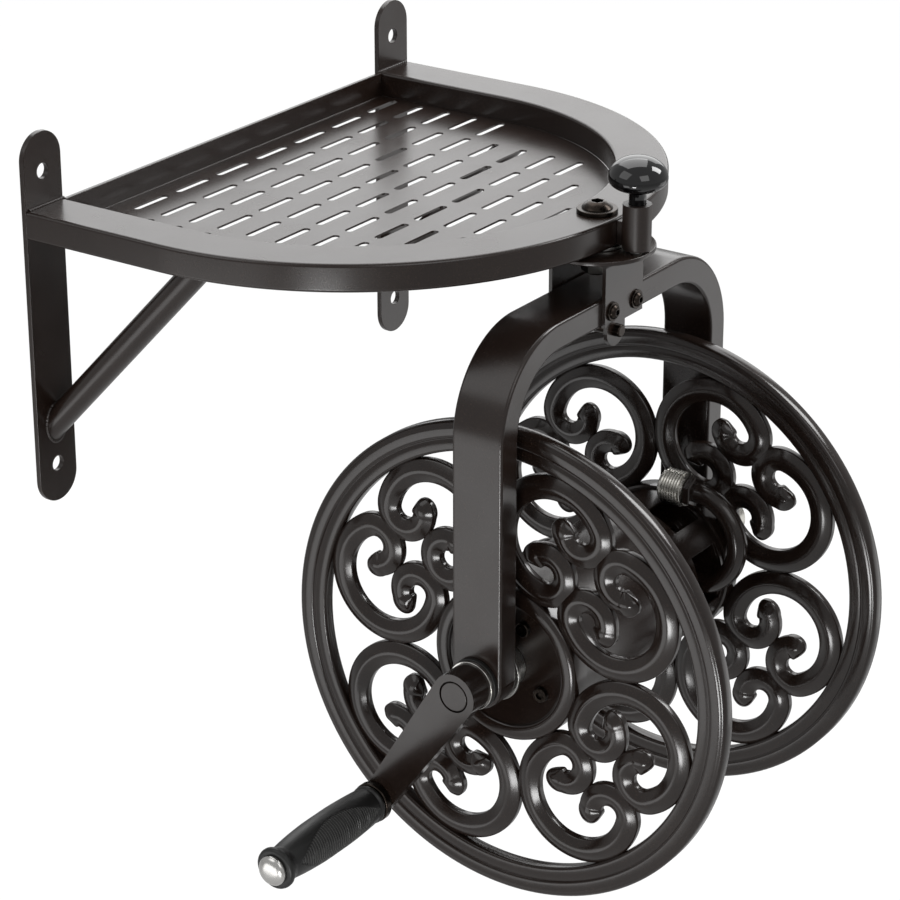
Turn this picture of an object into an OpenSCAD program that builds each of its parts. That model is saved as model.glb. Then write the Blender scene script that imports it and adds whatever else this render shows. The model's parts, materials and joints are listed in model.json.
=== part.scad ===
// Wall mounted hose reel with a shelf. Sizes in millimetres.
// The wall face is y = 0 and the reel stands toward -y; x runs along the wall and z is up.
// The origin is the middle of the four wall bolts.

/* [Wall bars] */
// Distance between the two upright bars, from one wall stud to the next
stud_spacing = 406; // [380:1:460]
// Distance between the two bolt holes of a bar
hole_rise = 216; // [200:1:260]
// Distance from a bolt hole to the end of its bar
hole_margin = 28; // [22:1:36]
// Width of a bar
bar_w = 38; // [32:1:44]
// Thickness of a bar
bar_t = 4; // [3:0.5:6]
// Diameter of a bolt hole
wall_hole_d = 11; // [8:0.5:13]

/* [Shelf] */
// Width of the bent tube round the shelf
rim_w = 38; // [34:1:46]
// Height of that tube
rim_h = 20; // [16:1:28]
// Wall of that tube
rim_wall = 2; // [1.5:0.1:3]
// Corner radius of that tube
rim_corner = 2.5; // [2.1:0.1:4]
// Distance from the wall to the start of the tube's bend
rim_leg = 118; // [100:1:160]
// Height of the shelf's top above the middle of the wall bolts
shelf_top = 83.5; // [76:0.5:90]
// Thickness of the flat bar across the back of the shelf
rear_t = 3; // [2:0.5:5]
// Thickness of the slotted plate
plate_t = 1.5; // [1.2:0.1:4]
// Length of a slot
slot_l = 36; // [24:1:40]
// Width of a slot
slot_w = 6; // [4:0.5:10]
// Distance between slots along the wall
slot_pitch_x = 46; // [44:1:60]
// Distance between rows of slots
slot_pitch_y = 25; // [16:0.5:36]
// Distance from the back bar to the first row
slot_first = 17; // [10:1:30]
// Least distance from a slot to the edge of the plate
slot_edge = 4; // [3:1:12]

/* [Braces] */
// Diameter of a brace tube
brace_d = 19; // [15:0.5:24]
// Wall of a brace tube
brace_wall = 1.6; // [1.2:0.1:3]
// Height of a brace's foot, below the middle of the wall bolts
brace_foot = 77; // [60:1:84]
// Distance from the wall to the top of a brace
brace_reach = 137; // [110:1:180]

/* [Pivot] */
// Diameter of the pivot bolt
bolt_d = 12; // [8:0.5:14]
// Diameter of the bolt's head
bolt_head_d = 21.5; // [19:0.5:26]
// Height of the bolt's head
bolt_head_h = 6.5; // [5:0.5:10]
// Hexagon recess across flats
bolt_socket = 8; // [5:0.5:10]
// Diameter of the washer under the head
pivot_washer_d = 28.5; // [24:0.5:34]
// Thickness of that washer
pivot_washer_t = 3; // [1.5:0.5:4]
// Thickness of the thrust washer under the tube
thrust_t = 2; // [1:0.5:4]
// Diameter of the thrust washer
thrust_d = 40; // [28:1:44]
// Thickness of the index disc
disc_t = 3; // [2:0.5:5]
// Number of positions that the disc locks in
disc_stops = 4; // [2:1:6]
// Ring of metal outside the disc's holes
disc_edge = 5; // [3:0.5:8]
// Nut across flats
nut_flats = 18; // [16:1:22]
// Height of the nut
nut_h = 10.8; // [8:0.1:13]
// Diameter of the washer above the nut
nut_washer_d = 22.5; // [20:0.5:28]
// Thickness of the washer above the nut
nut_washer_t = 2.5; // [1.5:0.5:4]

/* [Plunger] */
// Diameter of the plunger's housing
housing_d = 20; // [18:0.5:24]
// Height of the housing
housing_h = 31.8; // [30:0.1:40]
// Wall of the housing round the spring
housing_wall = 1.8; // [1.5:0.1:2]
// Thickness of the housing's top
housing_lid = 3; // [2:0.5:4]
// Weld between the housing and the tube
housing_weld = 2.8; // [2:0.1:5]
// Diameter of the pin
pin_d = 8; // [6:0.5:8.5]
// How far the pin drops to lock the disc
pin_drop = 6; // [4:0.5:7]
// Length of the guide under the spring
guide_l = 7.5; // [5:0.5:9]
// Diameter of the spring's wire
spring_wire = 1.2; // [0.8:0.1:1.3]
// Turns of the spring
spring_turns = 4; // [3:1:4]
// Diameter of the neck under the knob
neck_d = 12; // [10:0.5:12.5]
// Neck in sight between the housing and the knob
neck_h = 8.8; // [8:0.1:14]
// Diameter of the knob
knob_d = 41; // [36:0.5:48]
// Height of the knob
knob_h = 24.3; // [21:0.1:32]
// Radius of the knob's edge
knob_edge = 9; // [6:0.5:10]

/* [Saddle] */
// Width of the saddle along the wall
saddle_w = 48; // [44:1:60]
// Thickness of the saddle's plate
saddle_t = 3; // [2:0.5:4]
// Height of the hollow over the fork, for the pivot nut
saddle_room = 24.5; // [21:0.5:34]
// Outside radius of the saddle's bends
saddle_bend = 5; // [4.1:0.1:8]
// Distance between the two screws of a side
screw_pitch = 30; // [24:1:34]
// Diameter of a saddle screw
screw_d = 6; // [4:0.5:7]
// How far its end reaches into the tube
screw_end = 3; // [1:0.5:8]
// Diameter of its head
screw_head_d = 10.4; // [9:0.1:12]
// Diameter of its washer
screw_washer_d = 13.5; // [12.5:0.1:14]
// Distance of the support pin from the middle of the saddle
support_x = 10; // [6:0.5:12]
// Metal round the support pin
ear_edge = 7; // [4:0.5:10]
// Diameter of the support pin
support_d = 9; // [6:0.5:11]
// How far the support pin stands out of the saddle at each end
support_out = 5; // [2:0.5:10]

/* [Fork] */
// Width of the fork's tube, seen from the side of the reel
fork_w = 40; // [36:1:48]
// Thickness of the fork's tube
fork_t = 20; // [18:1:26]
// Wall of the fork's tube
fork_wall = 2; // [1.5:0.1:3]
// Corner radius of the fork's tube
fork_corner = 2.5; // [2.1:0.1:4]
// Outside radius of the fork's bends
fork_bend = 70; // [50:1:90]
// Distance from the fork's top to the axle
axle_drop = 244; // [226:1:300]
// Thickness of the strip that closes the round end of a leg
end_strip_t = 2; // [1:0.5:4]
// Wall of the bushes that the axle turns in
bush_wall = 3; // [2:0.5:4]
// Diameter of a bush's flange
bush_flange_d = 36.4; // [32:0.2:42]
// Thickness of a bush's flange
bush_flange_t = 3.5; // [2:0.5:5]

/* [Reel] */
// Distance between the middles of the two flanges
reel_w = 210; // [200:1:240]
// Gap between a flange and the fork's leg
side_gap = 13; // [7:0.5:16]
// Outside radius of a flange
flange_r = 176; // [172:1:182]
// Width of a flange's ring
ring_w = 22; // [18:1:30]
// Thickness of a flange's ring
ring_t = 13; // [11:0.5:15]
// Step from the ring's raised outer band down to its inner band
ring_step = 1.5; // [0.5:0.1:2.5]
// Width of the raised outer band
raised_w = 12; // [8:0.5:14]
// Chamfer along the ring's edges
ring_chamfer = 2; // [1:0.1:3]
// How far a hub's edge stands out past the drum
hub_lip = 2; // [1:0.5:5]
// Radius of the flat in the hub's middle
hub_flat_r = 46; // [42:0.5:48]
// Depth of that flat
hub_flat_depth = 3; // [1:0.5:4]
// How far the hub reaches in past the ring
hub_reach = 4.5; // [2:0.5:8]
// Radius of the circle of hub screws
hub_screw_r = 34; // [30:0.5:37]
// Diameter of a hub screw
hub_screw_d = 6; // [4:0.5:7]
// Radius of the spacer between a hub and its bush
spacer_r = 17; // [15:0.5:20]
// Radius of the spacer's rim beside the leg
spacer_rim_r = 21.5; // [20:0.5:24]
// Thickness of that rim
spacer_rim_t = 2.5; // [1.5:0.5:4]
// Outside radius of the drum
drum_r = 56; // [52:0.5:57]
// Wall of the drum
drum_wall = 2; // [1.5:0.1:3]
// Thickness of a drum cap
cap_t = 4; // [3:0.5:6]
// Height of the bosses on a drum cap
cap_boss = 5; // [3:0.5:6]
// Wall of those bosses
boss_wall = 4; // [2.5:0.5:5]
// Diameter of the axle
axle_d = 20; // [18:0.5:22]
// Bore of the axle, which carries the water
axle_bore = 14; // [12:0.5:15]

/* [Scrolls] */
// How far the scrolls run into the ring and the hub
scroll_lap = 1.2; // [0.8:0.1:2]
// Distance of a scroll's centre from the axle, along its cell
scroll_u = 101; // [100:0.5:102]
// Distance of a scroll's centre from the middle of its cell
scroll_v = 31.8; // [31:0.1:32.6]
// Radius of the big arc
scroll_r = 40.5; // [40:0.1:41]
// Radius of a curl
curl_r = 15; // [14:0.1:16]
// Angle at which a curl leaves the big arc
curl_tilt = 25; // [20:1:28]
// Sweep of the curl near the ring
curl_out = 201; // [185:1:205]
// Sweep of the curl near the hub
curl_in = 227; // [210:1:230]
// Width of a scroll
scroll_w = 17.6; // [17:0.2:18.4]
// Width of the raised band along a scroll
band_w = 10.4; // [8:0.2:12]
// Radius of the ball at the end of a curl
curl_ball = 9.3; // [8.8:0.1:9.6]
// Thickness of a scroll at its edges
scroll_t = 8; // [6:0.5:10]
// Thickness of a scroll at its band
band_t = 12; // [10.5:0.5:13]
// Angle of the first cell
cell_angle = 52; // [0:1:89]

/* [Outlet] */
// Distance of the outlet from the middle of the reel
outlet_x = 76; // [70:0.5:76]
// Diameter of the bent outlet tube
outlet_d = 14.5; // [12:0.5:15]
// Wall of the outlet tube
outlet_wall = 1.6; // [1:0.1:2.5]
// Radius of the outlet's bend
outlet_bend = 35.5; // [35:0.5:40]
// Radius of the tube's spigot in the axle
spigot_r = 5; // [4:0.1:5.6]
// Bore of the spigot
spigot_bore = 7; // [5:0.5:7]
// Distance from the axle to the middle of the bend
outlet_out = 40; // [36:0.5:46]
// Diameter of a hose thread
thread_d = 26.4; // [20:0.1:34]
// Length of a hose thread
thread_l = 20; // [14:0.5:22]
// Length of the collar behind a hose thread
thread_collar = 6; // [4:0.5:10]
// Wall round a tube in its hose fitting
collar_wall = 3; // [2:0.5:5]
// How far a tube goes into its hose fitting
fitting_lap = 4; // [3:0.5:5.5]
// Angle of the drum's window, below the tube
window_below = 15; // [14:1:30]
// Angle of the drum's window, above the tube
window_above = 80; // [60:1:110]
// Angle of the bridge across the drum's window
bridge_at = 41; // [36:1:44]
// Width of that bridge, as an angle
bridge_w = 22; // [16:1:26]
// Length of the drum's window
window_l = 32; // [24:0.5:44]

/* [Crank] */
// Distance from the axle to the grip
crank_l = 120; // [100:1:128]
// Angle of the crank, from straight out
crank_angle = 236.5; // [0:0.5:359.5]
// Thickness of the crank's arm
arm_t = 10; // [8:0.5:14]
// Radius of the arm at the axle
arm_head_r = 16.5; // [15.5:0.1:20]
// Radius of the arm at the grip
arm_end_r = 11.3; // [10:0.1:14]
// Length of the boss behind the arm
boss_l = 10; // [8:0.5:14]
// Radius of the steel washer behind the boss
crank_washer_r = 17.6; // [15:0.1:20]
// Thickness of that washer
crank_washer_t = 3; // [2:0.5:5]
// Diameter of the cross pin
cross_pin_d = 5; // [3:0.5:6]
// Radius of the plug in the axle's end
plug_r = 10.5; // [9.5:0.1:12]
// Depth of the plug's head
plug_t = 5; // [3:0.5:6]
// Length of the plug's stem
plug_stem = 6; // [3:0.5:7]
// Gap round the plug's head
plug_gap = 1; // [0.3:0.1:2]

/* [Grip] */
// Length of the grip
grip_l = 109; // [90:1:112]
// Diameter of the grip at its middle
grip_d = 31; // [28:0.5:34]
// Diameter of the grip at its ends
grip_end_d = 27; // [25:0.5:28]
// Diameter of the grip's end ring
grip_ring_d = 30; // [29:0.5:33]
// Width of that ring
grip_ring_w = 5; // [3:0.5:8]
// Depth of the grooves round the grip
grip_groove = 1; // [0.5:0.1:1.5]
// Number of grooves
grip_grooves = 9; // [3:1:11]
// Diameter of the spindle
spindle_d = 10; // [8:0.5:12]
// Radius of the collar under the grip
collar_r = 14.5; // [13:0.1:16]
// Height of that collar
collar_h = 6; // [3:0.5:8]
// Diameter of the domed cap
cap_d = 21.5; // [18:0.5:24]
// Height of the domed cap
cap_h = 6; // [4:0.5:8]
// Spindle nut across flats
spindle_nut_flats = 16; // [15:1:18]
// Height of the spindle nut
spindle_nut_h = 6; // [4:0.5:8]

/* [Inlet] */
// Wall of the inlet's body
inlet_wall = 6; // [4.5:0.5:9]
// Length of axle in the inlet's body
inlet_hold = 24; // [22:0.5:32]
// Length of the chamber past the axle
inlet_room = 16; // [15.5:0.5:24]
// Thickness of the inlet's closed end
inlet_end = 4; // [2.5:0.5:6]
// Radius of the inlet's branch
branch_r = 11; // [9.5:0.1:14]
// Bore of the inlet's branch
branch_bore = 13; // [10:0.5:14]
// Length of the inlet's branch from the axle
branch_l = 34; // [28:1:50]
// Distance from the inlet's inner face to its clip
clip_in = 6; // [5:0.5:7]
// Distance from the inlet's inner face to the first seal
seal_in = 13; // [11:0.5:14]
// Distance between the two seals
seal_pitch = 6; // [4:0.5:6.5]
// Depth of the clip's groove in the axle
clip_groove = 1.5; // [1:0.1:1.8]
// Section of a seal
seal_d = 2; // [1.2:0.1:2.2]
// Thickness of the spring clip
clip_t = 2; // [1.2:0.1:3]

/* [Fits] */
// Radial clearance of a pin or a shaft in its bore
fit = 0.05; // [0.02:0.01:0.08]
// Gap between faces that pass each other
gap = 0.3; // [0.2:0.05:0.5]
// Clearance of a welded edge
weld_gap = 0.1; // [0.05:0.05:0.3]

/* [Hidden] */
$fn = 64;
// Cuts run this far past a face.
over = 1;

// Shelf.
arc_r = stud_spacing / 2;
pivot_y = -(rim_leg + arc_r);
shelf_bottom = shelf_top - rim_h;
rim_in_r = arc_r - rim_w / 2;

// Stack under the shelf, from the tube down to the fork.
disc_top = shelf_bottom - thrust_t - gap;
web_top = disc_top - disc_t;
web_bottom = web_top - saddle_t;
fork_top = web_bottom - saddle_room;
fork_bottom = fork_top - fork_t;
axle_z = fork_top - axle_drop;

// Plunger beside the tube.
index_r = rim_w / 2 + housing_weld + housing_d / 2;
plunger_y = pivot_y - index_r;
housing_top = shelf_bottom + housing_h;
chamber_r = housing_d / 2 - housing_wall;
pin_tip = disc_top + gap;
pin_collar_t = 3;
pin_collar_z = shelf_bottom + guide_l + gap + pin_drop;
spring_low = pin_collar_z + pin_collar_t;
spring_high = housing_top - housing_lid;
spring_r = chamber_r - gap - spring_wire / 2;
knob_z = housing_top + neck_h;

// Reel, measured outward from its middle.
flange_z = reel_w / 2;
hub_in = flange_z - ring_t / 2 - hub_reach;
hub_out = flange_z + ring_t / 2;
hub_face = hub_out - hub_flat_depth;
leg_in = flange_z + ring_t / 2 + side_gap;
leg_out = leg_in + fork_t;
bush_out = leg_out + bush_flange_t;
bush_r = axle_d / 2 + fit + bush_wall;
crank_z = bush_out + gap + crank_washer_t;
arm_z = crank_z + boss_l;
arm_top = arm_z + arm_t;
axle_near = arm_top - plug_t;
axle_far = bush_out + 2 * gap + inlet_hold;
cap_bottom = hub_in - cap_t;
curl_step = 0.3;
curl_lap = 8;

// The scrolls are drawn at the sizes above, then grown or shrunk until they reach from hub to ring.
scroll_centre = norm([scroll_u, scroll_v]);
scroll_edge = scroll_r + scroll_w / 2;
scroll_size = (flange_r - ring_w + scroll_lap) / (scroll_centre + scroll_edge);
hub_r = max(drum_r + hub_lip, scroll_size * (scroll_centre - scroll_edge) + scroll_lap);

// Screws.
screw_h = 3.4;
screw_washer_t = 1.5;
hub_screw_head_r = 5.2;

module reel_frame() {
  translate([0, pivot_y, axle_z]) rotate([90, 0, -90]) children();
}

module pipe(r_out, r_in, length) {
  difference() {
    cylinder(r = r_out, h = length);
    translate([0, 0, -over]) cylinder(r = r_in, h = length + 2 * over);
  }
}

// A rectangle with round corners about its middle.
module round_rect(w, h, r) {
  square([w - 2 * r, h], center = true);
  square([w, h - 2 * r], center = true);
  for (sx = [-1, 1], sy = [-1, 1])
    translate([sx * (w / 2 - r), sy * (h / 2 - r)]) circle(r = r);
}

// A low dome on a round base.
module dome(d, h) {
  r = (h * h + d * d / 4) / (2 * h);
  rotate_extrude() intersection() {
    translate([0, h - r]) circle(r = r, $fn = 128);
    square([d / 2, h]);
  }
}

// The section of a rectangular tube.
module tube_2d(w, h, wall, corner) {
  difference() {
    round_rect(w, h, corner);
    square([w - 2 * wall, h - 2 * wall], center = true);
  }
}

module slot_2d(length, width) {
  square([length - width, width], center = true);
  for (s = [-1, 1]) translate([s * (length - width) / 2, 0]) circle(d = width);
}

// The plan of the space inside the shelf's tube, from the wall line at back to the round front.
module d_plan(r, back) {
  translate([0, -rim_leg]) {
    intersection() {
      circle(r = r, $fn = 128);
      translate([-r, -r]) square([2 * r, r]);
    }
    translate([-r, 0]) square([2 * r, rim_leg - back]);
  }
}

module wall_bar(side) {
  end_z = hole_rise / 2 + hole_margin - bar_w / 2;
  translate([side * stud_spacing / 2, 0, 0]) rotate([90, 0, 0]) linear_extrude(height = bar_t)
    difference() {
      union() {
        square([bar_w, 2 * end_z], center = true);
        for (s = [-1, 1]) translate([0, s * end_z]) circle(d = bar_w);
      }
      for (s = [-1, 1]) translate([0, s * hole_rise / 2]) circle(d = wall_hole_d);
    }
}

module left_bracket() { color("#2d2723") wall_bar(-1); }
module right_bracket() { color("#2d2723") wall_bar(1); }

// One tube bent to a half circle, with its two straight ends on the wall bars.
module shelf_rim() {
  color("#2f2925") difference() {
    translate([0, 0, shelf_bottom + rim_h / 2]) {
      translate([0, -rim_leg, 0]) rotate([0, 0, 180]) rotate_extrude(angle = 180, $fn = 128)
        translate([arc_r, 0]) tube_2d(rim_w, rim_h, rim_wall, rim_corner);
      for (s = [-1, 1]) translate([s * arc_r, -bar_t, 0]) rotate([90, 0, 0])
        linear_extrude(height = rim_leg - bar_t) tube_2d(rim_w, rim_h, rim_wall, rim_corner);
    }
    translate([0, pivot_y, shelf_bottom - over]) cylinder(d = bolt_d + 2 * fit, h = rim_h + 2 * over);
  }
}

module rear_bar() {
  w = 2 * (rim_in_r - weld_gap);
  color("#2b2622") translate([-w / 2, -bar_t - rear_t, shelf_bottom]) cube([w, rear_t, rim_h]);
}

// The plate drops inside the tube and lies level with its underside; slots stand in rows along the wall.
module shelf_plate() {
  back = bar_t + rear_t;
  columns = floor(rim_in_r / slot_pitch_x);
  rows = ceil((rim_leg + rim_in_r - back) / slot_pitch_y);
  color("#37312d") translate([0, 0, shelf_bottom]) linear_extrude(height = plate_t) difference() {
    d_plan(rim_in_r - weld_gap, back);
    for (i = [-columns : columns - 1], k = [0 : rows - 1]) {
      x = (i + 0.5) * slot_pitch_x;
      y = -back - slot_first - k * slot_pitch_y;
      reach = norm([abs(x) + slot_l / 2, max(0, -y - rim_leg + slot_w / 2)]);
      if (reach < rim_in_r - slot_edge) translate([x, y]) slot_2d(slot_l, slot_w);
    }
  }
}

// A round tube from the front of a wall bar up to the underside of the shelf's tube.
module brace(side) {
  run = brace_reach - bar_t;
  rise = shelf_bottom + brace_foot;
  span = norm([run, rise]);
  far = 2 * brace_d;
  translate([side * stud_spacing / 2, -bar_t, -brace_foot]) intersection() {
    rotate([atan2(run, rise), 0, 0]) translate([0, 0, -far])
      pipe(brace_d / 2, brace_d / 2 - brace_wall, span + 2 * far);
    translate([-brace_d, -run - far, -far]) cube([2 * brace_d, run + far, rise + far]);
  }
}

module left_brace() { color("#2d2723") brace(-1); }
module right_brace() { color("#2d2723") brace(1); }

// Button head bolt down through the tube, the disc and the saddle.
module pivot_bolt() {
  head_z = shelf_top + pivot_washer_t;
  low_z = web_bottom - gap - nut_washer_t - nut_h - 2;
  color("#1f1c1a") translate([0, pivot_y, 0]) difference() {
    union() {
      translate([0, 0, low_z]) cylinder(d = bolt_d, h = head_z - low_z + over);
      translate([0, 0, head_z]) dome(bolt_head_d, bolt_head_h);
    }
    translate([0, 0, head_z + bolt_head_h / 2]) cylinder(d = bolt_socket / cos(30), h = bolt_head_h, $fn = 6);
  }
}

module pivot_washer() {
  color("#26211e") translate([0, pivot_y, shelf_top])
    pipe(pivot_washer_d / 2, bolt_d / 2 + fit, pivot_washer_t);
}

module thrust_washer() {
  color("#4a4642") translate([0, pivot_y, shelf_bottom - thrust_t])
    pipe(thrust_d / 2, bolt_d / 2 + fit, thrust_t);
}

module nut_washer() {
  color("#8d8b88") translate([0, pivot_y, web_bottom - gap - nut_washer_t])
    pipe(nut_washer_d / 2, bolt_d / 2 + fit, nut_washer_t);
}

module pivot_nut() {
  color("#8d8b88") translate([0, pivot_y, web_bottom - gap - nut_washer_t - nut_h]) difference() {
    cylinder(d = nut_flats / cos(30), h = nut_h, $fn = 6);
    translate([0, 0, -over]) cylinder(r = bolt_d / 2 + fit, h = nut_h + 2 * over);
  }
}

// Turned housing welded to the front of the shelf's tube, hollow for the pin and its spring.
module plunger_housing() {
  web_w = housing_d / 2;
  inset = 1.5;
  color("#241f1c") difference() {
    union() {
      translate([0, plunger_y, shelf_bottom]) cylinder(d = housing_d, h = housing_h);
      translate([-web_w / 2, plunger_y, shelf_bottom + inset])
        cube([web_w, index_r - rim_w / 2, rim_h - 2 * inset]);
    }
    translate([0, plunger_y, shelf_bottom - over])
      cylinder(r = chamber_r, h = housing_h - housing_lid + over);
    translate([0, plunger_y, shelf_bottom]) cylinder(r = neck_d / 2 + fit, h = housing_h + over);
  }
}

module plunger_guide() {
  color("#8d8b88") translate([0, plunger_y, shelf_bottom]) pipe(chamber_r - fit, pin_d / 2 + fit, guide_l);
}

// The coil's centre line, and rings of points along it.
function coil_point(t) = [
  spring_r * cos(360 * spring_turns * t),
  spring_r * sin(360 * spring_turns * t),
  spring_low + spring_wire / 2 + gap + t * (spring_high - spring_low - spring_wire - 2 * gap)
];
function coil_ring(t, sides) = [
  for (k = [0 : sides - 1])
    let (a = 360 * k / sides, c = coil_point(t), turn = 360 * spring_turns * t)
    c + spring_wire / 2 * [cos(a) * cos(turn), cos(a) * sin(turn), sin(a)]
];

module plunger_spring() {
  sides = 6;
  rings = 12 * spring_turns;
  points = [for (i = [0 : rings]) each coil_ring(i / rings, sides)];
  sheath = [
    for (i = [0 : rings - 1], k = [0 : sides - 1])
      let (a = i * sides + k, b = i * sides + (k + 1) % sides)
      each [[a, a + sides, b], [b, a + sides, b + sides]]
  ];
  start = [for (k = [1 : sides - 2]) [0, k, k + 1]];
  last = rings * sides;
  end = [for (k = [1 : sides - 2]) [last, last + k + 1, last + k]];
  echo(least_gap_between_turns = (coil_point(1) - coil_point(0))[2] / spring_turns - spring_wire);
  color("#9a9896") translate([0, plunger_y, 0]) polyhedron(points, concat(start, sheath, end));
}

// Steel pin with a collar under the spring; its tip is parked just over the disc.
module plunger_pin() {
  color("#b4b2ae") translate([0, plunger_y, 0]) {
    translate([0, 0, pin_tip]) cylinder(d = pin_d, h = knob_z - pin_tip);
    translate([0, 0, pin_collar_z]) cylinder(r = chamber_r - gap, h = pin_collar_t);
    translate([0, 0, knob_z - over]) cylinder(d = pin_d, h = over + knob_h / 2);
  }
}

// Ball knob, flattened, on a short neck that slides in the housing.
module plunger_knob() {
  half = knob_h / 2;
  seat_r = knob_d / 2 - knob_edge;
  dome_r = (seat_r * seat_r + half * half - knob_edge * knob_edge) / (2 * (half - knob_edge));
  meet_r = seat_r * dome_r / (dome_r - knob_edge);
  neck_low = housing_top - housing_lid + gap;
  color("#141414") translate([0, plunger_y, 0]) difference() {
    union() {
      translate([0, 0, knob_z]) rotate_extrude() intersection() {
        union() {
          intersection() {
            translate([0, knob_h - dome_r]) circle(r = dome_r);
            translate([0, dome_r]) circle(r = dome_r);
            square([meet_r, knob_h]);
          }
          translate([seat_r, half]) circle(r = knob_edge);
        }
        square([knob_d, knob_h]);
      }
      translate([0, 0, neck_low]) cylinder(d = neck_d, h = knob_z + knob_h / 4 - neck_low);
    }
    translate([0, 0, neck_low - over]) cylinder(r = pin_d / 2 + fit, h = knob_z + half - neck_low + over);
  }
}

module index_disc() {
  color("#2b2622") translate([0, pivot_y, web_top]) difference() {
    cylinder(r = index_r + pin_d / 2 + disc_edge, h = disc_t);
    translate([0, 0, -over]) cylinder(r = bolt_d / 2 + fit, h = disc_t + 2 * over);
    for (k = [0 : disc_stops - 1]) rotate(-90 + 360 * k / disc_stops) translate([index_r, 0, -over])
      cylinder(r = pin_d / 2 + gap, h = disc_t + 2 * over);
  }
}

// Places on the saddle's two cheeks: local x along the wall, y up from the fork's underside, z outward.
module cheeks() {
  for (s = [0, 1]) translate([0, pivot_y, fork_bottom]) mirror([0, s, 0]) translate([0, -fork_w / 2, 0])
    rotate([90, 0, 0]) children();
}

module screw_places() {
  cheeks() for (s = [-1, 1]) translate([s * screw_pitch / 2, fork_t / 2, 0]) children();
}

// Bent plate over the fork: a web on top, two cheeks, and a round ear on each cheek for the support pin.
module saddle() {
  out_w = fork_w + 2 * saddle_t;
  height = web_top - fork_bottom;
  ear_r = support_d / 2 + ear_edge;
  color("#28231f") difference() {
    union() {
      translate([-saddle_w / 2, pivot_y, web_top]) rotate([90, 0, 90]) linear_extrude(height = saddle_w)
        difference() {
          intersection() {
            translate([0, -height]) round_rect(out_w, 2 * height, saddle_bend);
            translate([-out_w / 2, -height]) square([out_w, height]);
          }
          intersection() {
            translate([0, -height - saddle_t]) round_rect(fork_w, 2 * height, saddle_bend - saddle_t);
            translate([-fork_w / 2, -height - over]) square([fork_w, height]);
          }
        }
      cheeks() linear_extrude(height = saddle_t) {
        translate([-support_x, -support_d / 2 - gap]) circle(r = ear_r);
        translate([-support_x - ear_r, -support_d / 2 - gap]) square([2 * ear_r, support_d / 2 + gap]);
      }
    }
    translate([0, pivot_y, web_bottom - over]) cylinder(r = bolt_d / 2 + fit, h = saddle_t + 2 * over);
    translate([-saddle_w, pivot_y - fork_w / 2, fork_bottom]) cube([2 * saddle_w, fork_w, fork_t]);
    screw_places() translate([0, 0, -over]) cylinder(r = screw_d / 2 + fit, h = saddle_t + 2 * over);
    cheeks() translate([-support_x, -support_d / 2 - gap, -over])
      cylinder(r = support_d / 2 + fit, h = saddle_t + 2 * over);
  }
}

module saddle_washers() {
  color("#1d1a18") screw_places() translate([0, 0, saddle_t])
    pipe(screw_washer_d / 2, screw_d / 2 + fit, screw_washer_t);
}

module saddle_screws() {
  reach = fork_wall + screw_end;
  head_z = saddle_t + screw_washer_t;
  color("#161412") screw_places() {
    translate([0, 0, -reach]) cylinder(d = screw_d, h = reach + head_z + over);
    translate([0, 0, head_z]) dome(screw_head_d, screw_h);
  }
}

// Round bar across the two ears, right under the fork.
module support_pin() {
  length = fork_w + 2 * saddle_t + 2 * support_out;
  color("#1b1816") translate([-support_x, pivot_y + length / 2, fork_bottom - support_d / 2 - gap])
    rotate([90, 0, 0]) cylinder(d = support_d, h = length);
}

// One bent tube: a level top, two bends and two legs.
module fork() {
  mid_r = fork_bend - fork_t / 2;
  bend_x = leg_out - fork_bend;
  bend_z = fork_top - fork_bend;
  leg_end = axle_z - fork_w / 2;
  color("#2d2723") difference() {
    translate([0, pivot_y, 0]) {
      translate([-bend_x, 0, fork_top - fork_t / 2]) rotate([90, 0, 90]) linear_extrude(height = 2 * bend_x)
        tube_2d(fork_w, fork_t, fork_wall, fork_corner);
      for (s = [0, 1]) mirror([s, 0, 0]) {
        translate([bend_x, 0, bend_z]) rotate([90, 0, 0]) rotate_extrude(angle = 90)
          translate([mid_r, 0]) tube_2d(fork_t, fork_w, fork_wall, fork_corner);
        translate([leg_out - fork_t / 2, 0, leg_end]) linear_extrude(height = bend_z - leg_end)
          tube_2d(fork_t, fork_w, fork_wall, fork_corner);
      }
    }
    reel_frame() translate([0, 0, -leg_out - over]) {
      cylinder(r = bush_r + fit, h = 2 * (leg_out + over));
      linear_extrude(height = 2 * (leg_out + over)) difference() {
        translate([-fork_w, -2 * fork_w]) square(2 * fork_w);
        circle(r = fork_w / 2 - end_strip_t - weld_gap);
      }
    }
    screw_places() translate([0, 0, -fork_wall - over])
      cylinder(r = screw_d / 2 + fit, h = fork_wall + 2 * over);
  }
}

// Strip bent round the end of each leg and welded on, with the tube's own corners.
module fork_ends() {
  color("#2d2723") reel_frame() for (s = [-1, 1]) translate([0, -weld_gap, s * (leg_out - fork_t / 2)])
    rotate(180) rotate_extrude(angle = 180) intersection() {
      round_rect(fork_w, fork_t, fork_corner);
      translate([fork_w / 2 - end_strip_t, -fork_t]) square([2 * end_strip_t, 2 * fork_t]);
    }
}

// Plastic bush through both walls of a leg, with its flange outside.
module bush() {
  pipe(bush_r, axle_d / 2 + fit, bush_out);
  translate([0, 0, leg_out]) pipe(bush_flange_d / 2, axle_d / 2 + fit, bush_flange_t);
}

module leg_bush() {
  difference() {
    bush();
    translate([0, 0, -over]) cylinder(r = bush_flange_d, h = leg_in + over);
  }
}

module left_bush() { color("#191817") reel_frame() leg_bush(); }
module right_bush() { color("#191817") reel_frame() mirror([0, 0, 1]) leg_bush(); }

// A part of a disc, between two angles.
module sector(r, from, sweep) {
  steps = 4;
  polygon(concat([[0, 0]], [
    for (k = [0 : steps]) let (a = from + sweep * k / steps) r * [cos(a), sin(a)]
  ]));
}

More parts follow.
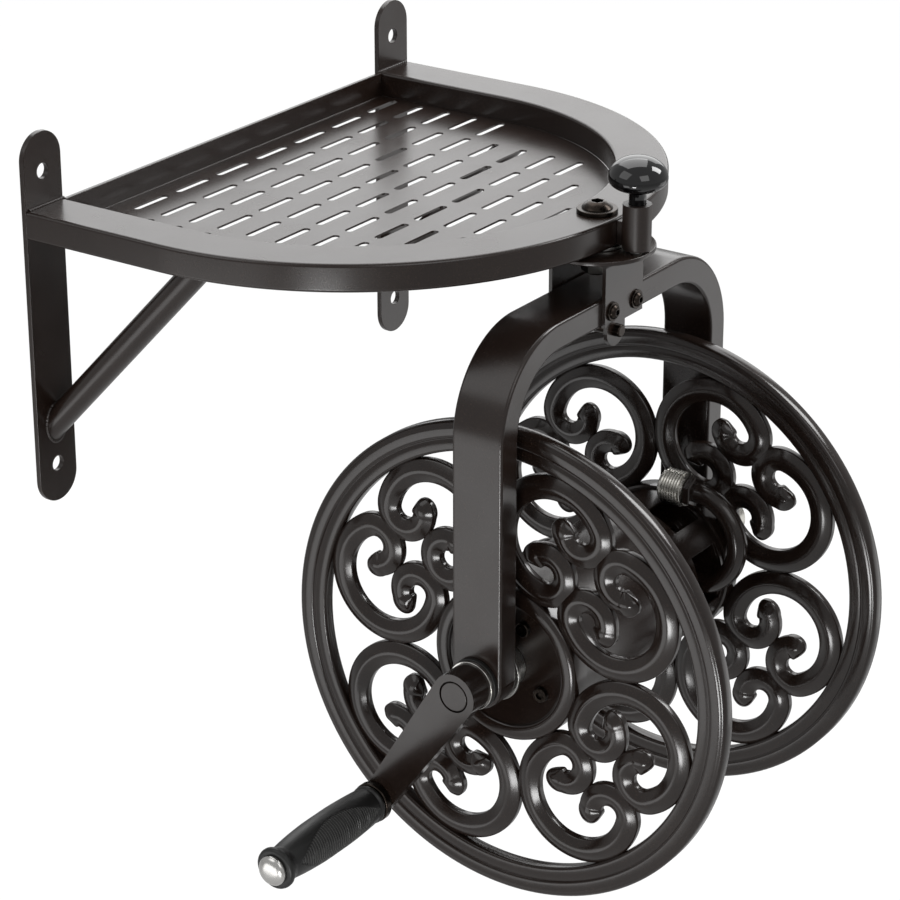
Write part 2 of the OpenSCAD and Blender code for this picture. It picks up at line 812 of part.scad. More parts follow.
module arc_bar(radius, half_w, from, sweep) {
  far = 2.2 * (radius + half_w);
  intersection() {
    difference() {
      circle(r = radius + half_w);
      circle(r = radius - half_w);
    }
    sector(far, from, sweep);
  }
}

// A curl rolls inside the big arc from the point where the arc ends, and closes on a ball.
// It is a little slimmer than the arc and starts inside the arc's end.
module curl(half_w, ball, sweep) {
  turn_r = scroll_size * curl_r;
  rotate(-curl_tilt) translate([scroll_size * scroll_r - turn_r, 0]) {
    arc_bar(turn_r, half_w - curl_step, -sweep, sweep + curl_lap);
    rotate(-sweep) translate([turn_r, 0]) circle(r = ball);
  }
}

module c_scroll(half_w, ball) {
  translate(scroll_size * [scroll_u, scroll_v]) {
    arc_bar(scroll_size * scroll_r, half_w, -curl_tilt, 180 + 2 * curl_tilt);
    curl(half_w, ball, curl_out);
    mirror([1, 0]) curl(half_w, ball, curl_in);
  }
}

// Four cells, each a pair of scrolls side by side.
module scrolls(half_w, ball) {
  for (k = [0 : 3]) rotate(cell_angle + 90 * k) for (s = [0, 1]) mirror([0, s]) c_scroll(half_w, ball);
}

// The ring's section: a raised band outside, a lower one inside, and chamfers.
module ring_2d() {
  top = ring_t / 2;
  inside = flange_r - ring_w;
  step_r = flange_r - raised_w;
  side = [
    [inside, top - ring_step - ring_chamfer],
    [inside + ring_chamfer, top - ring_step],
    [step_r - ring_step, top - ring_step],
    [step_r, top],
    [flange_r - ring_chamfer, top],
    [flange_r, top - ring_chamfer]
  ];
  polygon(concat(side, [for (i = [len(side) - 1 : -1 : 0]) [side[i][0], -side[i][1]]]));
}

module hub_screw_places() {
  for (k = [0 : 3]) rotate(90 * k - 27) translate([hub_screw_r, 0, 0]) children();
}

// A cast flange: moulded ring, eight scrolls and a hub with a sunk flat.
module flange() {
  difference() {
    union() {
      translate([0, 0, flange_z]) {
        rotate_extrude($fn = 128) ring_2d();
        linear_extrude(height = scroll_t, center = true)
          scrolls(scroll_size * scroll_w / 2, scroll_size * curl_ball);
        linear_extrude(height = band_t, center = true)
          scrolls(scroll_size * band_w / 2, scroll_size * (curl_ball - (scroll_w - band_w) / 2));
      }
      translate([0, 0, hub_in]) cylinder(r = hub_r, h = hub_out - hub_in);
    }
    translate([0, 0, hub_face]) cylinder(r = hub_flat_r, h = hub_flat_depth + over);
    translate([0, 0, hub_in - over]) cylinder(r = axle_d / 2 + fit, h = hub_out - hub_in + 2 * over);
    hub_screw_places() translate([0, 0, hub_in - over])
      cylinder(r = hub_screw_d / 2 + fit, h = hub_out - hub_in + 2 * over);
  }
}

module left_flange() { color("#2a2420") reel_frame() flange(); }
module right_flange() { color("#2a2420") reel_frame() mirror([0, 0, 1]) flange(); }

// Rolled drum between the hubs, open at one end round the outlet tube.
module drum() {
  window_end = cap_bottom;
  color("#4a4848") reel_frame() difference() {
    translate([0, 0, -hub_in]) pipe(drum_r, drum_r - drum_wall, 2 * hub_in);
    translate([0, 0, -window_end]) linear_extrude(height = window_l)
      sector(2 * drum_r, -window_below, window_below + bridge_at - bridge_w / 2);
    translate([0, 0, -window_end]) linear_extrude(height = window_l)
      sector(2 * drum_r, bridge_at + bridge_w / 2, window_above - bridge_at - bridge_w / 2);
  }
}

// Disc in the drum's end, with bosses for the hub screws.
module drum_cap() {
  difference() {
    union() {
      translate([0, 0, cap_bottom]) cylinder(r = drum_r - drum_wall - fit, h = cap_t);
      translate([0, 0, cap_bottom - cap_boss]) {
        cylinder(r = axle_d / 2 + boss_wall, h = cap_boss + over);
        hub_screw_places() cylinder(r = hub_screw_d / 2 + boss_wall, h = cap_boss + over);
      }
    }
    translate([0, 0, cap_bottom - cap_boss - over]) {
      cylinder(r = axle_d / 2 + fit, h = cap_t + cap_boss + 2 * over);
      hub_screw_places() cylinder(r = hub_screw_d / 2 + fit, h = cap_t + cap_boss + 2 * over);
    }
  }
}

module left_drum_cap() { color("#2c2a29") reel_frame() drum_cap(); }
module right_drum_cap() { color("#2c2a29") reel_frame() mirror([0, 0, 1]) drum_cap(); }

module hub_screws() {
  low = cap_bottom - cap_boss;
  head_h = hub_flat_depth + 1;
  color("#171513") reel_frame() for (s = [0, 1]) mirror([0, 0, s]) hub_screw_places() {
    translate([0, 0, low]) cylinder(d = hub_screw_d, h = hub_face - low + over);
    translate([0, 0, hub_face]) cylinder(r = hub_screw_head_r, h = head_h);
  }
}

// Turned spacer on the axle, with a rim that runs beside the leg.
module spacer() {
  length = leg_in - gap - hub_face;
  pipe(spacer_r, axle_d / 2 + fit, length);
  translate([0, 0, length - spacer_rim_t]) pipe(spacer_rim_r, axle_d / 2 + fit, spacer_rim_t);
}

module hub_spacers() {
  color("#1c1a18") reel_frame() for (s = [0, 1]) mirror([0, 0, s]) translate([0, 0, hub_face])
    spacer();
}

// Places of the two seals and of the clip's groove along the axle's far end.
inlet_near = bush_out + 2 * gap;
seal_z = [inlet_near + seal_in, inlet_near + seal_in + seal_pitch];
clip_z = inlet_near + clip_in;

// Hollow axle: water enters at the far end and leaves by the side hole inside the drum.
module axle() {
  color("#9c9a96") reel_frame() difference() {
    translate([0, 0, -axle_far]) cylinder(d = axle_d, h = axle_far + axle_near);
    translate([0, 0, -axle_far - over]) cylinder(d = axle_bore, h = axle_far + axle_near + 2 * over);
    translate([0, 0, -outlet_x]) rotate([0, 90, 0]) cylinder(r = spigot_r + fit, h = axle_d);
    translate([0, 0, crank_z + boss_l / 2]) rotate([90, 0, crank_angle])
      cylinder(r = cross_pin_d / 2 + fit, h = 2 * axle_d, center = true);
    for (z = seal_z) translate([0, 0, -z - seal_d * 0.6]) pipe(axle_d, axle_d / 2 - seal_d, seal_d * 1.2);
    translate([0, 0, -clip_z - clip_t / 2 - gap]) pipe(axle_d, axle_d / 2 - clip_groove, clip_t + 2 * gap);
  }
}

module axle_plug() {
  color("#2a2420") reel_frame() {
    translate([0, 0, axle_near]) cylinder(r = plug_r, h = plug_t);
    translate([0, 0, axle_near - plug_stem]) cylinder(r = axle_bore / 2 - fit, h = plug_stem + over);
  }
}

module crank_washer() {
  color("#c9c7c3") reel_frame() translate([0, 0, bush_out + gap])
    pipe(crank_washer_r, axle_d / 2 + fit, crank_washer_t);
}

// Outline of the arm: two circles and the tangents between them.
module arm_2d() {
  lean = asin((arm_head_r - arm_end_r) / crank_l);
  head = arm_head_r * [sin(lean), cos(lean)];
  end = [crank_l, 0] + arm_end_r * [sin(lean), cos(lean)];
  circle(r = arm_head_r);
  translate([crank_l, 0]) circle(r = arm_end_r);
  polygon([head, end, [end[0], -end[1]], [head[0], -head[1]]]);
}

module crank_frame() {
  reel_frame() rotate(crank_angle) children();
}

// Cast arm with a boss on the axle, a sunk seat for the plug and an eye for the spindle.
module crank_arm() {
  color("#2a2420") crank_frame() difference() {
    union() {
      translate([0, 0, crank_z]) cylinder(r = arm_head_r, h = boss_l + over);
      translate([0, 0, arm_z]) linear_extrude(height = arm_t) arm_2d();
    }
    translate([0, 0, crank_z - over]) cylinder(r = axle_d / 2 + fit, h = boss_l + arm_t + 2 * over);
    translate([0, 0, axle_near]) cylinder(r = plug_r + plug_gap, h = plug_t + over);
    translate([0, 0, crank_z + boss_l / 2]) rotate([90, 0, 0])
      cylinder(r = cross_pin_d / 2 + fit, h = 4 * arm_head_r, center = true);
    translate([crank_l, 0, arm_z - over]) cylinder(r = spindle_d / 2 + fit, h = arm_t + 2 * over);
  }
}

module crank_pin() {
  color("#8d8b88") crank_frame() translate([0, 0, crank_z + boss_l / 2]) rotate([90, 0, 0])
    cylinder(d = cross_pin_d, h = 2 * arm_head_r - 1, center = true);
}

// Bent tube from the axle out through the drum's window and back over it.
module outlet_tube() {
  r = outlet_d / 2;
  bore = r - outlet_wall;
  spigot_x = axle_bore / 2 + 1;
  start = axle_d / 2 + 1.5;
  wall = 2;
  color("#262221") reel_frame() translate([0, 0, -outlet_x]) {
    translate([start, 0, 0]) rotate([0, 90, 0]) pipe(r, bore, outlet_out - start);
    translate([spigot_x, 0, 0]) rotate([0, 90, 0]) pipe(spigot_r, spigot_bore / 2, start + wall - spigot_x);
    translate([start, 0, 0]) rotate([0, 90, 0]) pipe(r - outlet_wall / 2, spigot_bore / 2, wall);
    translate([outlet_out, outlet_bend, 0]) rotate(-90) rotate_extrude(angle = 180)
      translate([outlet_bend, 0]) difference() {
        circle(r = r);
        circle(r = bore);
      }
    translate([outlet_out - fitting_lap, 2 * outlet_bend, 0]) rotate([0, 90, 0]) pipe(r, bore, fitting_lap);
  }
}

// A hose fitting from its seat: collar with flats, then the thread's cylinder.
module hose_fitting(socket_r, bore) {
  difference() {
    union() {
      cylinder(r = (socket_r + collar_wall) / cos(30), h = thread_collar, $fn = 6);
      translate([0, 0, thread_collar - over]) cylinder(d = thread_d, h = thread_l + over);
    }
    translate([0, 0, -over]) cylinder(r = bore, h = thread_collar + thread_l + 2 * over);
    translate([0, 0, -over]) cylinder(r = socket_r + fit, h = fitting_lap + over);
  }
}

module outlet_fitting() {
  color("#b9b7b2") reel_frame() translate([outlet_out, 2 * outlet_bend, -outlet_x]) rotate([0, -90, 0])
    hose_fitting(outlet_d / 2, outlet_d / 2 - outlet_wall);
}

// Grip end of the crank: everything stands on the spindle's axis.
module spindle_frame() {
  crank_frame() translate([crank_l, 0, 0]) children();
}

grip_z = arm_top + collar_h + gap;
grip_end = grip_z + grip_l;
grip_cap_z = grip_end + gap;

module crank_spindle() {
  low = arm_z - spindle_nut_h - 1;
  color("#b4b2ae") spindle_frame() translate([0, 0, low])
    cylinder(d = spindle_d, h = grip_cap_z + cap_h / 2 - low);
}

module spindle_nut() {
  color("#8d8b88") spindle_frame() translate([0, 0, arm_z - spindle_nut_h]) difference() {
    cylinder(d = spindle_nut_flats / cos(30), h = spindle_nut_h, $fn = 6);
    translate([0, 0, -over]) cylinder(r = spindle_d / 2 + fit, h = spindle_nut_h + 2 * over);
  }
}

module grip_collar() {
  color("#1d1a18") spindle_frame() translate([0, 0, arm_top]) pipe(collar_r, spindle_d / 2 + fit, collar_h);
}

// Rubber grip: a barrel with rings of grooves, a waist and an end ring.
module grip() {
  waist = 6;
  barrel_l = grip_l - waist - grip_ring_w;
  rise = (grip_d - grip_end_d) / 2;
  barrel_r = (barrel_l * barrel_l / 4 + rise * rise) / (2 * rise);
  groove_w = 2.4;
  groove_step = 2 * groove_w;
  mid = grip_z + barrel_l / 2;
  color("#131313") spindle_frame() difference() {
    union() {
      rotate_extrude() intersection() {
        translate([0, grip_z]) square([grip_d, barrel_l]);
        translate([grip_d / 2 - barrel_r, mid]) circle(r = barrel_r, $fn = 256);
      }
      translate([0, 0, grip_z + barrel_l - over]) cylinder(d = grip_end_d - 2, h = waist + 2 * over);
      translate([0, 0, grip_end - grip_ring_w]) cylinder(d = grip_ring_d, h = grip_ring_w);
    }
    translate([0, 0, grip_z - over]) cylinder(r = spindle_d / 2 + fit, h = grip_l + 2 * over);
    for (k = [0 : grip_grooves - 1])
      translate([0, 0, mid + (k - (grip_grooves - 1) / 2) * groove_step - groove_w / 2])
        pipe(grip_d, grip_d / 2 - grip_groove, groove_w);
  }
}

module grip_cap() {
  color("#d7d5d1") spindle_frame() translate([0, 0, grip_cap_z]) difference() {
    dome(cap_d, cap_h);
    translate([0, 0, -over]) cylinder(r = spindle_d / 2 + fit, h = cap_h / 2 + over);
  }
}

module inlet_seals() {
  color("#101010") reel_frame() for (z = seal_z) translate([0, 0, -z]) rotate_extrude()
    translate([axle_d / 2 - seal_d / 2, 0]) circle(d = seal_d);
}

inlet_r = axle_d / 2 + inlet_wall;
inlet_far = axle_far + inlet_room + inlet_end;
branch_z = axle_far + inlet_room / 2;
clip_r = axle_d / 2 + 3;

// Swivel body on the axle's far end, closed outside, with a branch that hangs down to the supply.
module inlet_elbow() {
  color("#b1afab") reel_frame() difference() {
    union() {
      translate([0, 0, -inlet_far]) cylinder(r = inlet_r, h = inlet_far - inlet_near);
      translate([0, 0, -branch_z]) rotate([90, 0, 0]) cylinder(r = branch_r, h = branch_l);
    }
    translate([0, 0, -inlet_far + inlet_end]) cylinder(r = axle_d / 2 + fit, h = inlet_far);
    translate([0, 0, -branch_z]) rotate([90, 0, 0]) cylinder(d = branch_bore, h = branch_l + over);
    translate([0, 0, -clip_z - clip_t / 2]) cylinder(r = clip_r, h = clip_t);
  }
}

// Open spring ring in the body's groove; it rides in the axle's groove and holds the body on.
module inlet_clip() {
  opening = 60;
  color("#a9a7a3") reel_frame() translate([0, 0, -clip_z - clip_t / 2]) difference() {
    pipe(clip_r - fit, axle_d / 2 - clip_groove + gap, clip_t);
    translate([0, 0, -over]) linear_extrude(height = clip_t + 2 * over)
      sector(2 * clip_r, 90 - opening / 2, opening);
  }
}

module inlet_fitting() {
  color("#b9b7b2") reel_frame() translate([0, fitting_lap - branch_l, -branch_z]) rotate([90, 0, 0])
    hose_fitting(branch_r, branch_bore / 2);
}

left_bracket();
right_bracket();
shelf_rim();
rear_bar();
shelf_plate();
left_brace();
right_brace();
pivot_bolt();
pivot_washer();
thrust_washer();
nut_washer();
pivot_nut();
plunger_housing();
plunger_guide();
plunger_spring();
plunger_pin();
plunger_knob();
index_disc();
saddle();
saddle_washers();
saddle_screws();
support_pin();
fork();
fork_ends();
left_bush();
right_bush();
left_flange();
right_flange();
drum();
left_drum_cap();
right_drum_cap();
hub_screws();
hub_spacers();
axle();
axle_plug();
crank_washer();
crank_arm();
crank_pin();
outlet_tube();
outlet_fitting();
crank_spindle();
spindle_nut();
grip_collar();
grip();
grip_cap();
inlet_seals();
inlet_elbow();
inlet_clip();
inlet_fitting();
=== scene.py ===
"""A wall mounted hose reel with a shelf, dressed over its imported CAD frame. Lengths in millimetres
are turned to metres where a mesh or a texture is made; places come from the frame."""
import json
import math

import bmesh
import bpy
from mathutils import Matrix, Vector

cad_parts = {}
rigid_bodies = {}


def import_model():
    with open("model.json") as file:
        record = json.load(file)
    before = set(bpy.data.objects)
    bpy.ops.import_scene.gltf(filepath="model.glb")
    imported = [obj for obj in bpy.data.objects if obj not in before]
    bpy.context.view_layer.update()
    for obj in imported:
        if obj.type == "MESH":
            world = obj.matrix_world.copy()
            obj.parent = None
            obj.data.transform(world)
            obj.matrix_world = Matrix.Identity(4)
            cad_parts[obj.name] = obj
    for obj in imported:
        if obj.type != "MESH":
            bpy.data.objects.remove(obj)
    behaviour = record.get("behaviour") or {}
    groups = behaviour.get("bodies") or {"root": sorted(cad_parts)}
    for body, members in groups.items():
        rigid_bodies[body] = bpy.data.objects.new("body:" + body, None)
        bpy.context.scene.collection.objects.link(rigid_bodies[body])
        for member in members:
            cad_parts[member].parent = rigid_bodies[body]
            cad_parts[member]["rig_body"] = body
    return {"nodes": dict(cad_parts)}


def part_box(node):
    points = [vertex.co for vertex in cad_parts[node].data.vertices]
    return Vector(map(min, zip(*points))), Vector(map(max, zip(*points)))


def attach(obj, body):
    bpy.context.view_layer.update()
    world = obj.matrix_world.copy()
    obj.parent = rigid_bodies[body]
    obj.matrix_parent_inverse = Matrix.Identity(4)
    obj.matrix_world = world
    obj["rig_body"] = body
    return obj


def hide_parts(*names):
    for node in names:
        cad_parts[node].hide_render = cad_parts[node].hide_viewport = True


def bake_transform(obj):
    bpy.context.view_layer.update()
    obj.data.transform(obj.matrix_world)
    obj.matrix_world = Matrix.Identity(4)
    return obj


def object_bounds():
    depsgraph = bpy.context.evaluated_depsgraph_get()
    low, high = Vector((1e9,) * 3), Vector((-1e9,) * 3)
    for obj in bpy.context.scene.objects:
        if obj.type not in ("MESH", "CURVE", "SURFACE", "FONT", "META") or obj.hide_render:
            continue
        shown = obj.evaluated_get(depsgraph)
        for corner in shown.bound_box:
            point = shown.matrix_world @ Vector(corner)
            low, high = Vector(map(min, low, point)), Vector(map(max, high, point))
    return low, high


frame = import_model()
cad_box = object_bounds()

# Camera. The reel is seen from its front left and from above, through a long lens.
camera_place = (-1.7475, -1.4188, 0.7886)
camera_azimuth = -55.32
camera_elevation = 23.21
focal_pixels = 3206.2
frame_pixels = 900
optical_centre = (462.1, 454.1)


def add_object(name, data):
    """Puts an object with this data at the scene's origin."""
    thing = bpy.data.objects.new(name, data)
    bpy.context.scene.collection.objects.link(thing)
    return thing


lens = bpy.data.cameras.new("camera")
lens.sensor_width = 36.0
lens.lens = lens.sensor_width * focal_pixels / frame_pixels
lens.shift_x = (frame_pixels / 2 - optical_centre[0]) / frame_pixels
lens.shift_y = (optical_centre[1] - frame_pixels / 2) / frame_pixels
lens.clip_end = 40.0
camera = add_object("camera", lens)
camera.location = camera_place
camera.rotation_euler = (math.radians(90 - camera_elevation), 0, math.radians(camera_azimuth))
bpy.context.scene.camera = camera


# Wall bars. Two upright flat bars of mild steel with round ends and a bolt hole at each end,
# cut from strip, deburred and welded to the shelf, then powder coated with it in dark bronze.
def linear(shade):
    """An sRGB hex colour as linear red, green, blue and alpha."""
    parts = [int(shade[i:i + 2], 16) / 255 for i in (1, 3, 5)]
    return [p / 12.92 if p < 0.04045 else ((p + 0.055) / 1.055) ** 2.4 for p in parts] + [1.0]


def add_node(tree, kind, inputs=None, **settings):
    """Adds one node: settings are its own properties, inputs fill or link its sockets."""
    node = tree.nodes.new(kind)
    for name, value in settings.items():
        setattr(node, name, value)
    for key, value in (inputs or {}).items():
        if isinstance(value, bpy.types.NodeSocket):
            tree.links.new(value, node.inputs[key])
        else:
            node.inputs[key].default_value = value
    return node


def new_finish(name):
    """A finish to fill: its material, its nodes and the place on the piece that its textures follow."""
    material = bpy.data.materials.new(name)
    material.use_nodes = True
    tree = material.node_tree
    return material, tree, add_node(tree, "ShaderNodeTexCoord").outputs["Object"]


def end_finish(tree, colour, gloss, bump):
    """Leads colour, roughness and bump to the shader, and gives the shader."""
    shader = tree.nodes["Principled BSDF"]
    tree.links.new(colour.outputs[2], shader.inputs["Base Color"])
    tree.links.new(gloss.outputs["Result"], shader.inputs["Roughness"])
    tree.links.new(bump.outputs["Normal"], shader.inputs["Normal"])
    return shader


def powder_coat(name, dark, light, roughness, peel_mm, peel_depth_mm):
    """Satin powder coat: a dark bronze skin with orange peel, a slow mottle and fine bronze fleck.
    The fleck is drawn at about a millimetre, coarser than the real one, so that it shows."""
    mottle_mm = 45.0
    fleck_mm = 1.1
    fleck_shade = "#42352d"
    material, tree, place = new_finish(name)
    mottle = add_node(tree, "ShaderNodeTexNoise", {"Vector": place, "Scale": 1000 / mottle_mm,
                                                   "Detail": 3.0})
    fleck = add_node(tree, "ShaderNodeTexNoise", {"Vector": place, "Scale": 1000 / fleck_mm, "Detail": 1.0})
    peel = add_node(tree, "ShaderNodeTexNoise", {"Vector": place, "Scale": 1000 / peel_mm, "Detail": 2.0})
    tone = add_node(tree, "ShaderNodeMix", {0: mottle.outputs["Fac"], 6: linear(dark), 7: linear(light)},
                    data_type="RGBA")
    share = add_node(tree, "ShaderNodeMapRange", {"Value": fleck.outputs["Fac"], "From Min": 0.58,
                                                  "From Max": 0.8, "To Max": 0.5})
    colour = add_node(tree, "ShaderNodeMix", {0: share.outputs["Result"], 6: tone.outputs[2],
                                              7: linear(fleck_shade)}, data_type="RGBA")
    gloss = add_node(tree, "ShaderNodeMapRange", {"Value": mottle.outputs["Fac"], "From Min": 0.3,
                                                  "From Max": 0.7, "To Min": roughness - 0.03,
                                                  "To Max": roughness + 0.04})
    bump = add_node(tree, "ShaderNodeBump", {"Height": peel.outputs["Fac"], "Strength": 1.0,
                                             "Distance": peel_depth_mm / 1000})
    shader = end_finish(tree, colour, gloss, bump)
    shader.inputs["IOR"].default_value = 1.55
    return material


def close_mesh(shape, name):
    """The mesh of a bmesh, which is freed."""
    mesh = bpy.data.meshes.new(name)
    shape.to_mesh(mesh)
    shape.free()
    return mesh


def cad_copy(*nodes):
    """A mesh of one or more CAD nodes, merged, with the triangles of flat faces joined."""
    shape = bmesh.new()
    for name in nodes:
        shape.from_mesh(frame["nodes"][name].data)
    bmesh.ops.remove_doubles(shape, verts=shape.verts, dist=1e-6)
    bmesh.ops.dissolve_limit(shape, angle_limit=math.radians(0.4), verts=shape.verts, edges=shape.edges)
    return close_mesh(shape, nodes[0])


def add_piece(name, mesh, material, body, edge_mm=None, crease=32):
    """Makes a piece of the mesh: rounds its sharp edges, smooths and paints it, and puts it on a body,
    or on none where no body is given."""
    piece = add_object(name, mesh)
    mesh.shade_smooth()
    mesh.set_sharp_from_angle(angle=math.radians(crease))
    if edge_mm is not None:
        if edge_mm:
            bevel = piece.modifiers.new("edges", "BEVEL")
            bevel.width = edge_mm / 1000
            bevel.segments = 3
            bevel.limit_method = "ANGLE"
            bevel.angle_limit = math.radians(crease)
        flats = piece.modifiers.new("flats", "WEIGHTED_NORMAL")
        flats.keep_sharp = not edge_mm
        shown = piece.evaluated_get(bpy.context.evaluated_depsgraph_get())
        finished = bpy.data.meshes.new_from_object(shown)
        piece.modifiers.clear()
        piece.data = finished
    piece.data.materials.clear()
    piece.data.materials.append(material)
    if body:
        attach(piece, body)
    return piece


def fit_piece(name, mesh, material, nodes, edge_mm=None, crease=32):
    """Adds a piece that stands for CAD nodes, on the body of the first of them."""
    piece = add_piece(name, mesh, material, frame["nodes"][nodes[0]]["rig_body"], edge_mm, crease)
    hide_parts(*nodes)
    return piece


def dress(name, node, material, edge_mm=None, crease=32):
    """Adds a piece that keeps the shape of one CAD node."""
    return fit_piece(name, cad_copy(node), material, [node], edge_mm, crease)


bronze_coat = powder_coat("bronze_powder_coat_on_steel", "#1f1612", "#281d18", 0.24, 3.5, 0.01)
for side in ("left", "right"):
    bar = side + "_bracket"
    dress("wall_bar_" + side, bar, bronze_coat, edge_mm=0.8)


# Shelf. One rectangular tube bent to a D, its ends welded to the wall bars, with a flat bar across
# the back and a punched plate let in level with the tube's underside.
def new_tree(name, inputs):
    """A geometry node tree with a mesh going in, named inputs for its sizes, and its input node."""
    tree = bpy.data.node_groups.new(name, "GeometryNodeTree")
    tree.interface.new_socket("Geometry", in_out="INPUT", socket_type="NodeSocketGeometry")
    for label, kind in inputs.items():
        tree.interface.new_socket(label, in_out="INPUT", socket_type="NodeSocket" + kind)
    tree.interface.new_socket("Geometry", in_out="OUTPUT", socket_type="NodeSocketGeometry")
    return tree, add_node(tree, "NodeGroupInput").outputs


def end_tree(tree, geometry, finish):
    """Closes a tree: its instances become one plain mesh with one finish."""
    real = add_node(tree, "GeometryNodeRealizeInstances", {"Geometry": geometry})
    painted = add_node(tree, "GeometryNodeSetMaterial", {"Geometry": real.outputs[0], "Material": finish})
    add_node(tree, "NodeGroupOutput", {0: painted.outputs[0]})


def run_tree(tree, start, values):
    """The plain mesh that a tree makes of a starting mesh."""
    carrier = add_object(tree.name, start)
    modifier = carrier.modifiers.new("tree", "NODES")
    modifier.node_group = tree
    for socket in tree.interface.items_tree:
        if socket.in_out == "INPUT" and socket.name in values:
            modifier[socket.identifier] = values[socket.name]
    made = carrier.evaluated_get(bpy.context.evaluated_depsgraph_get())
    mesh = bpy.data.meshes.new_from_object(made)
    carrier.modifiers.remove(modifier)
    bpy.data.objects.remove(carrier)
    return mesh


def line_mesh(name, points, closed=False):
    """A chain of edges through points given in metres."""
    edges = [(i, i + 1) for i in range(len(points) - 1)]
    if closed:
        edges.append((len(points) - 1, 0))
    mesh = bpy.data.meshes.new(name)
    mesh.from_pydata(points, edges, [])
    return mesh


sweep_tree, sweep_in = new_tree("swept_section", {"Section": "Object", "Finish": "Material"})
sweep_curve = add_node(sweep_tree, "GeometryNodeMeshToCurve", {"Mesh": sweep_in["Geometry"]})
sweep_up = add_node(sweep_tree, "GeometryNodeSetCurveNormal", {"Curve": sweep_curve.outputs[0]},
                    mode="Z_UP")
sweep_shape = add_node(sweep_tree, "GeometryNodeObjectInfo", {"Object": sweep_in["Section"]})
sweep_outline = add_node(sweep_tree, "GeometryNodeMeshToCurve", {"Mesh": sweep_shape.outputs["Geometry"]})
sweep_mesh = add_node(sweep_tree, "GeometryNodeCurveToMesh", {"Curve": sweep_up.outputs[0],
                                                              "Profile Curve": sweep_outline.outputs[0],
                                                              "Fill Caps": True})
end_tree(sweep_tree, sweep_mesh.outputs[0], sweep_in["Finish"])

rim_low, rim_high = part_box("shelf_rim")
bar_low, bar_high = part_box("left_bracket")
rim_w = bar_high.x - bar_low.x
rim_h = rim_high.z - rim_low.z
rim_corner = 0.0025
rim_r = rim_high.x - rim_w / 2
rim_middle = (rim_high.z + rim_low.z) / 2
arc_y = rim_low.y + rim_high.x
rim_path = [(-rim_r, rim_high.y, rim_middle)]
for k in range(129):
    a = math.pi * (1 + k / 128)
    rim_path.append((rim_r * math.cos(a), arc_y + rim_r * math.sin(a), rim_middle))
rim_path.append((rim_r, rim_high.y, rim_middle))
rim_section = []
for quarter in range(4):
    across = 1 if quarter in (0, 3) else -1
    up = 1 if quarter in (0, 1) else -1
    for k in range(7):
        a = math.pi / 2 * (quarter + k / 6)
        rim_section.append((across * (rim_w / 2 - rim_corner) + rim_corner * math.cos(a),
                            up * (rim_h / 2 - rim_corner) + rim_corner * math.sin(a), 0))
section = add_object("rim_section", line_mesh("rim_section", rim_section, closed=True))
rim_mesh = run_tree(sweep_tree, line_mesh("rim_path", rim_path),
                    {"Section": section, "Finish": bronze_coat})
bpy.data.objects.remove(section)
fit_piece("shelf_tube", rim_mesh, bronze_coat, ["shelf_rim"], edge_mm=0.0)
dress("shelf_back_bar", "rear_bar", bronze_coat, edge_mm=0.5)
dress("slotted_plate", "shelf_plate", bronze_coat, edge_mm=0.3)


weld_tree, weld_in = new_tree("weld_bead", {"Bead": "Float", "Ripple": "Float", "Finish": "Material"})
weld_curve = add_node(weld_tree, "GeometryNodeMeshToCurve", {"Mesh": weld_in["Geometry"]})
weld_even = add_node(weld_tree, "GeometryNodeResampleCurve", {"Curve": weld_curve.outputs[0],
                                                              "Length": 0.0004}, mode="LENGTH")
weld_along = add_node(weld_tree, "GeometryNodeSplineParameter")
weld_phase = add_node(weld_tree, "ShaderNodeMath", {0: weld_along.outputs["Length"], 1: weld_in["Ripple"]},
                      operation="DIVIDE")
weld_turns = add_node(weld_tree, "ShaderNodeMath", {0: weld_phase.outputs[0], 1: 2 * math.pi},
                      operation="MULTIPLY")
weld_wave = add_node(weld_tree, "ShaderNodeMath", {0: weld_turns.outputs[0]}, operation="SINE")
weld_swell = add_node(weld_tree, "ShaderNodeMath", {0: weld_wave.outputs[0], 1: 0.1, 2: 1.0},
                      operation="MULTIPLY_ADD")
weld_section = add_node(weld_tree, "GeometryNodeCurvePrimitiveCircle", {"Resolution": 10,
                                                                        "Radius": weld_in["Bead"]})
weld_mesh = add_node(weld_tree, "GeometryNodeCurveToMesh", {"Curve": weld_even.outputs[0],
                                                            "Profile Curve": weld_section.outputs[0],
                                                            "Scale": weld_swell.outputs[0],
                                                            "Fill Caps": True})
end_tree(weld_tree, weld_mesh.outputs[0], weld_in["Finish"])

brace_bead = 0.0016
tube_bead = 0.0014
plate_bead = 0.0009
weld_ripple = 0.0026


def add_weld(name, path, bead, closed=False):
    """A run of weld along a path on the shelf's frame."""
    mesh = run_tree(weld_tree, line_mesh("weld_path", path, closed),
                    {"Bead": bead, "Ripple": weld_ripple, "Finish": bronze_coat})
    add_piece(name, mesh, bronze_coat, "shelf", crease=60)


back_low, back_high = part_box("rear_bar")
plate_low, plate_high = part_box("shelf_plate")
for side, sign in (("left", 1), ("right", -1)):
    low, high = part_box(side + "_bracket")
    outer, inner = (low.x, high.x) if sign > 0 else (high.x, low.x)
    corner = [(outer + sign * 0.003, low.y, rim_high.z), (inner, low.y, rim_high.z),
              (inner, low.y, plate_high.z)]
    add_weld("tube_end_weld_" + side, corner, tube_bead)
add_weld("plate_back_weld", [(plate_low.x + 0.004, back_low.y, plate_high.z),
                             (plate_high.x - 0.004, back_low.y, plate_high.z)], plate_bead)

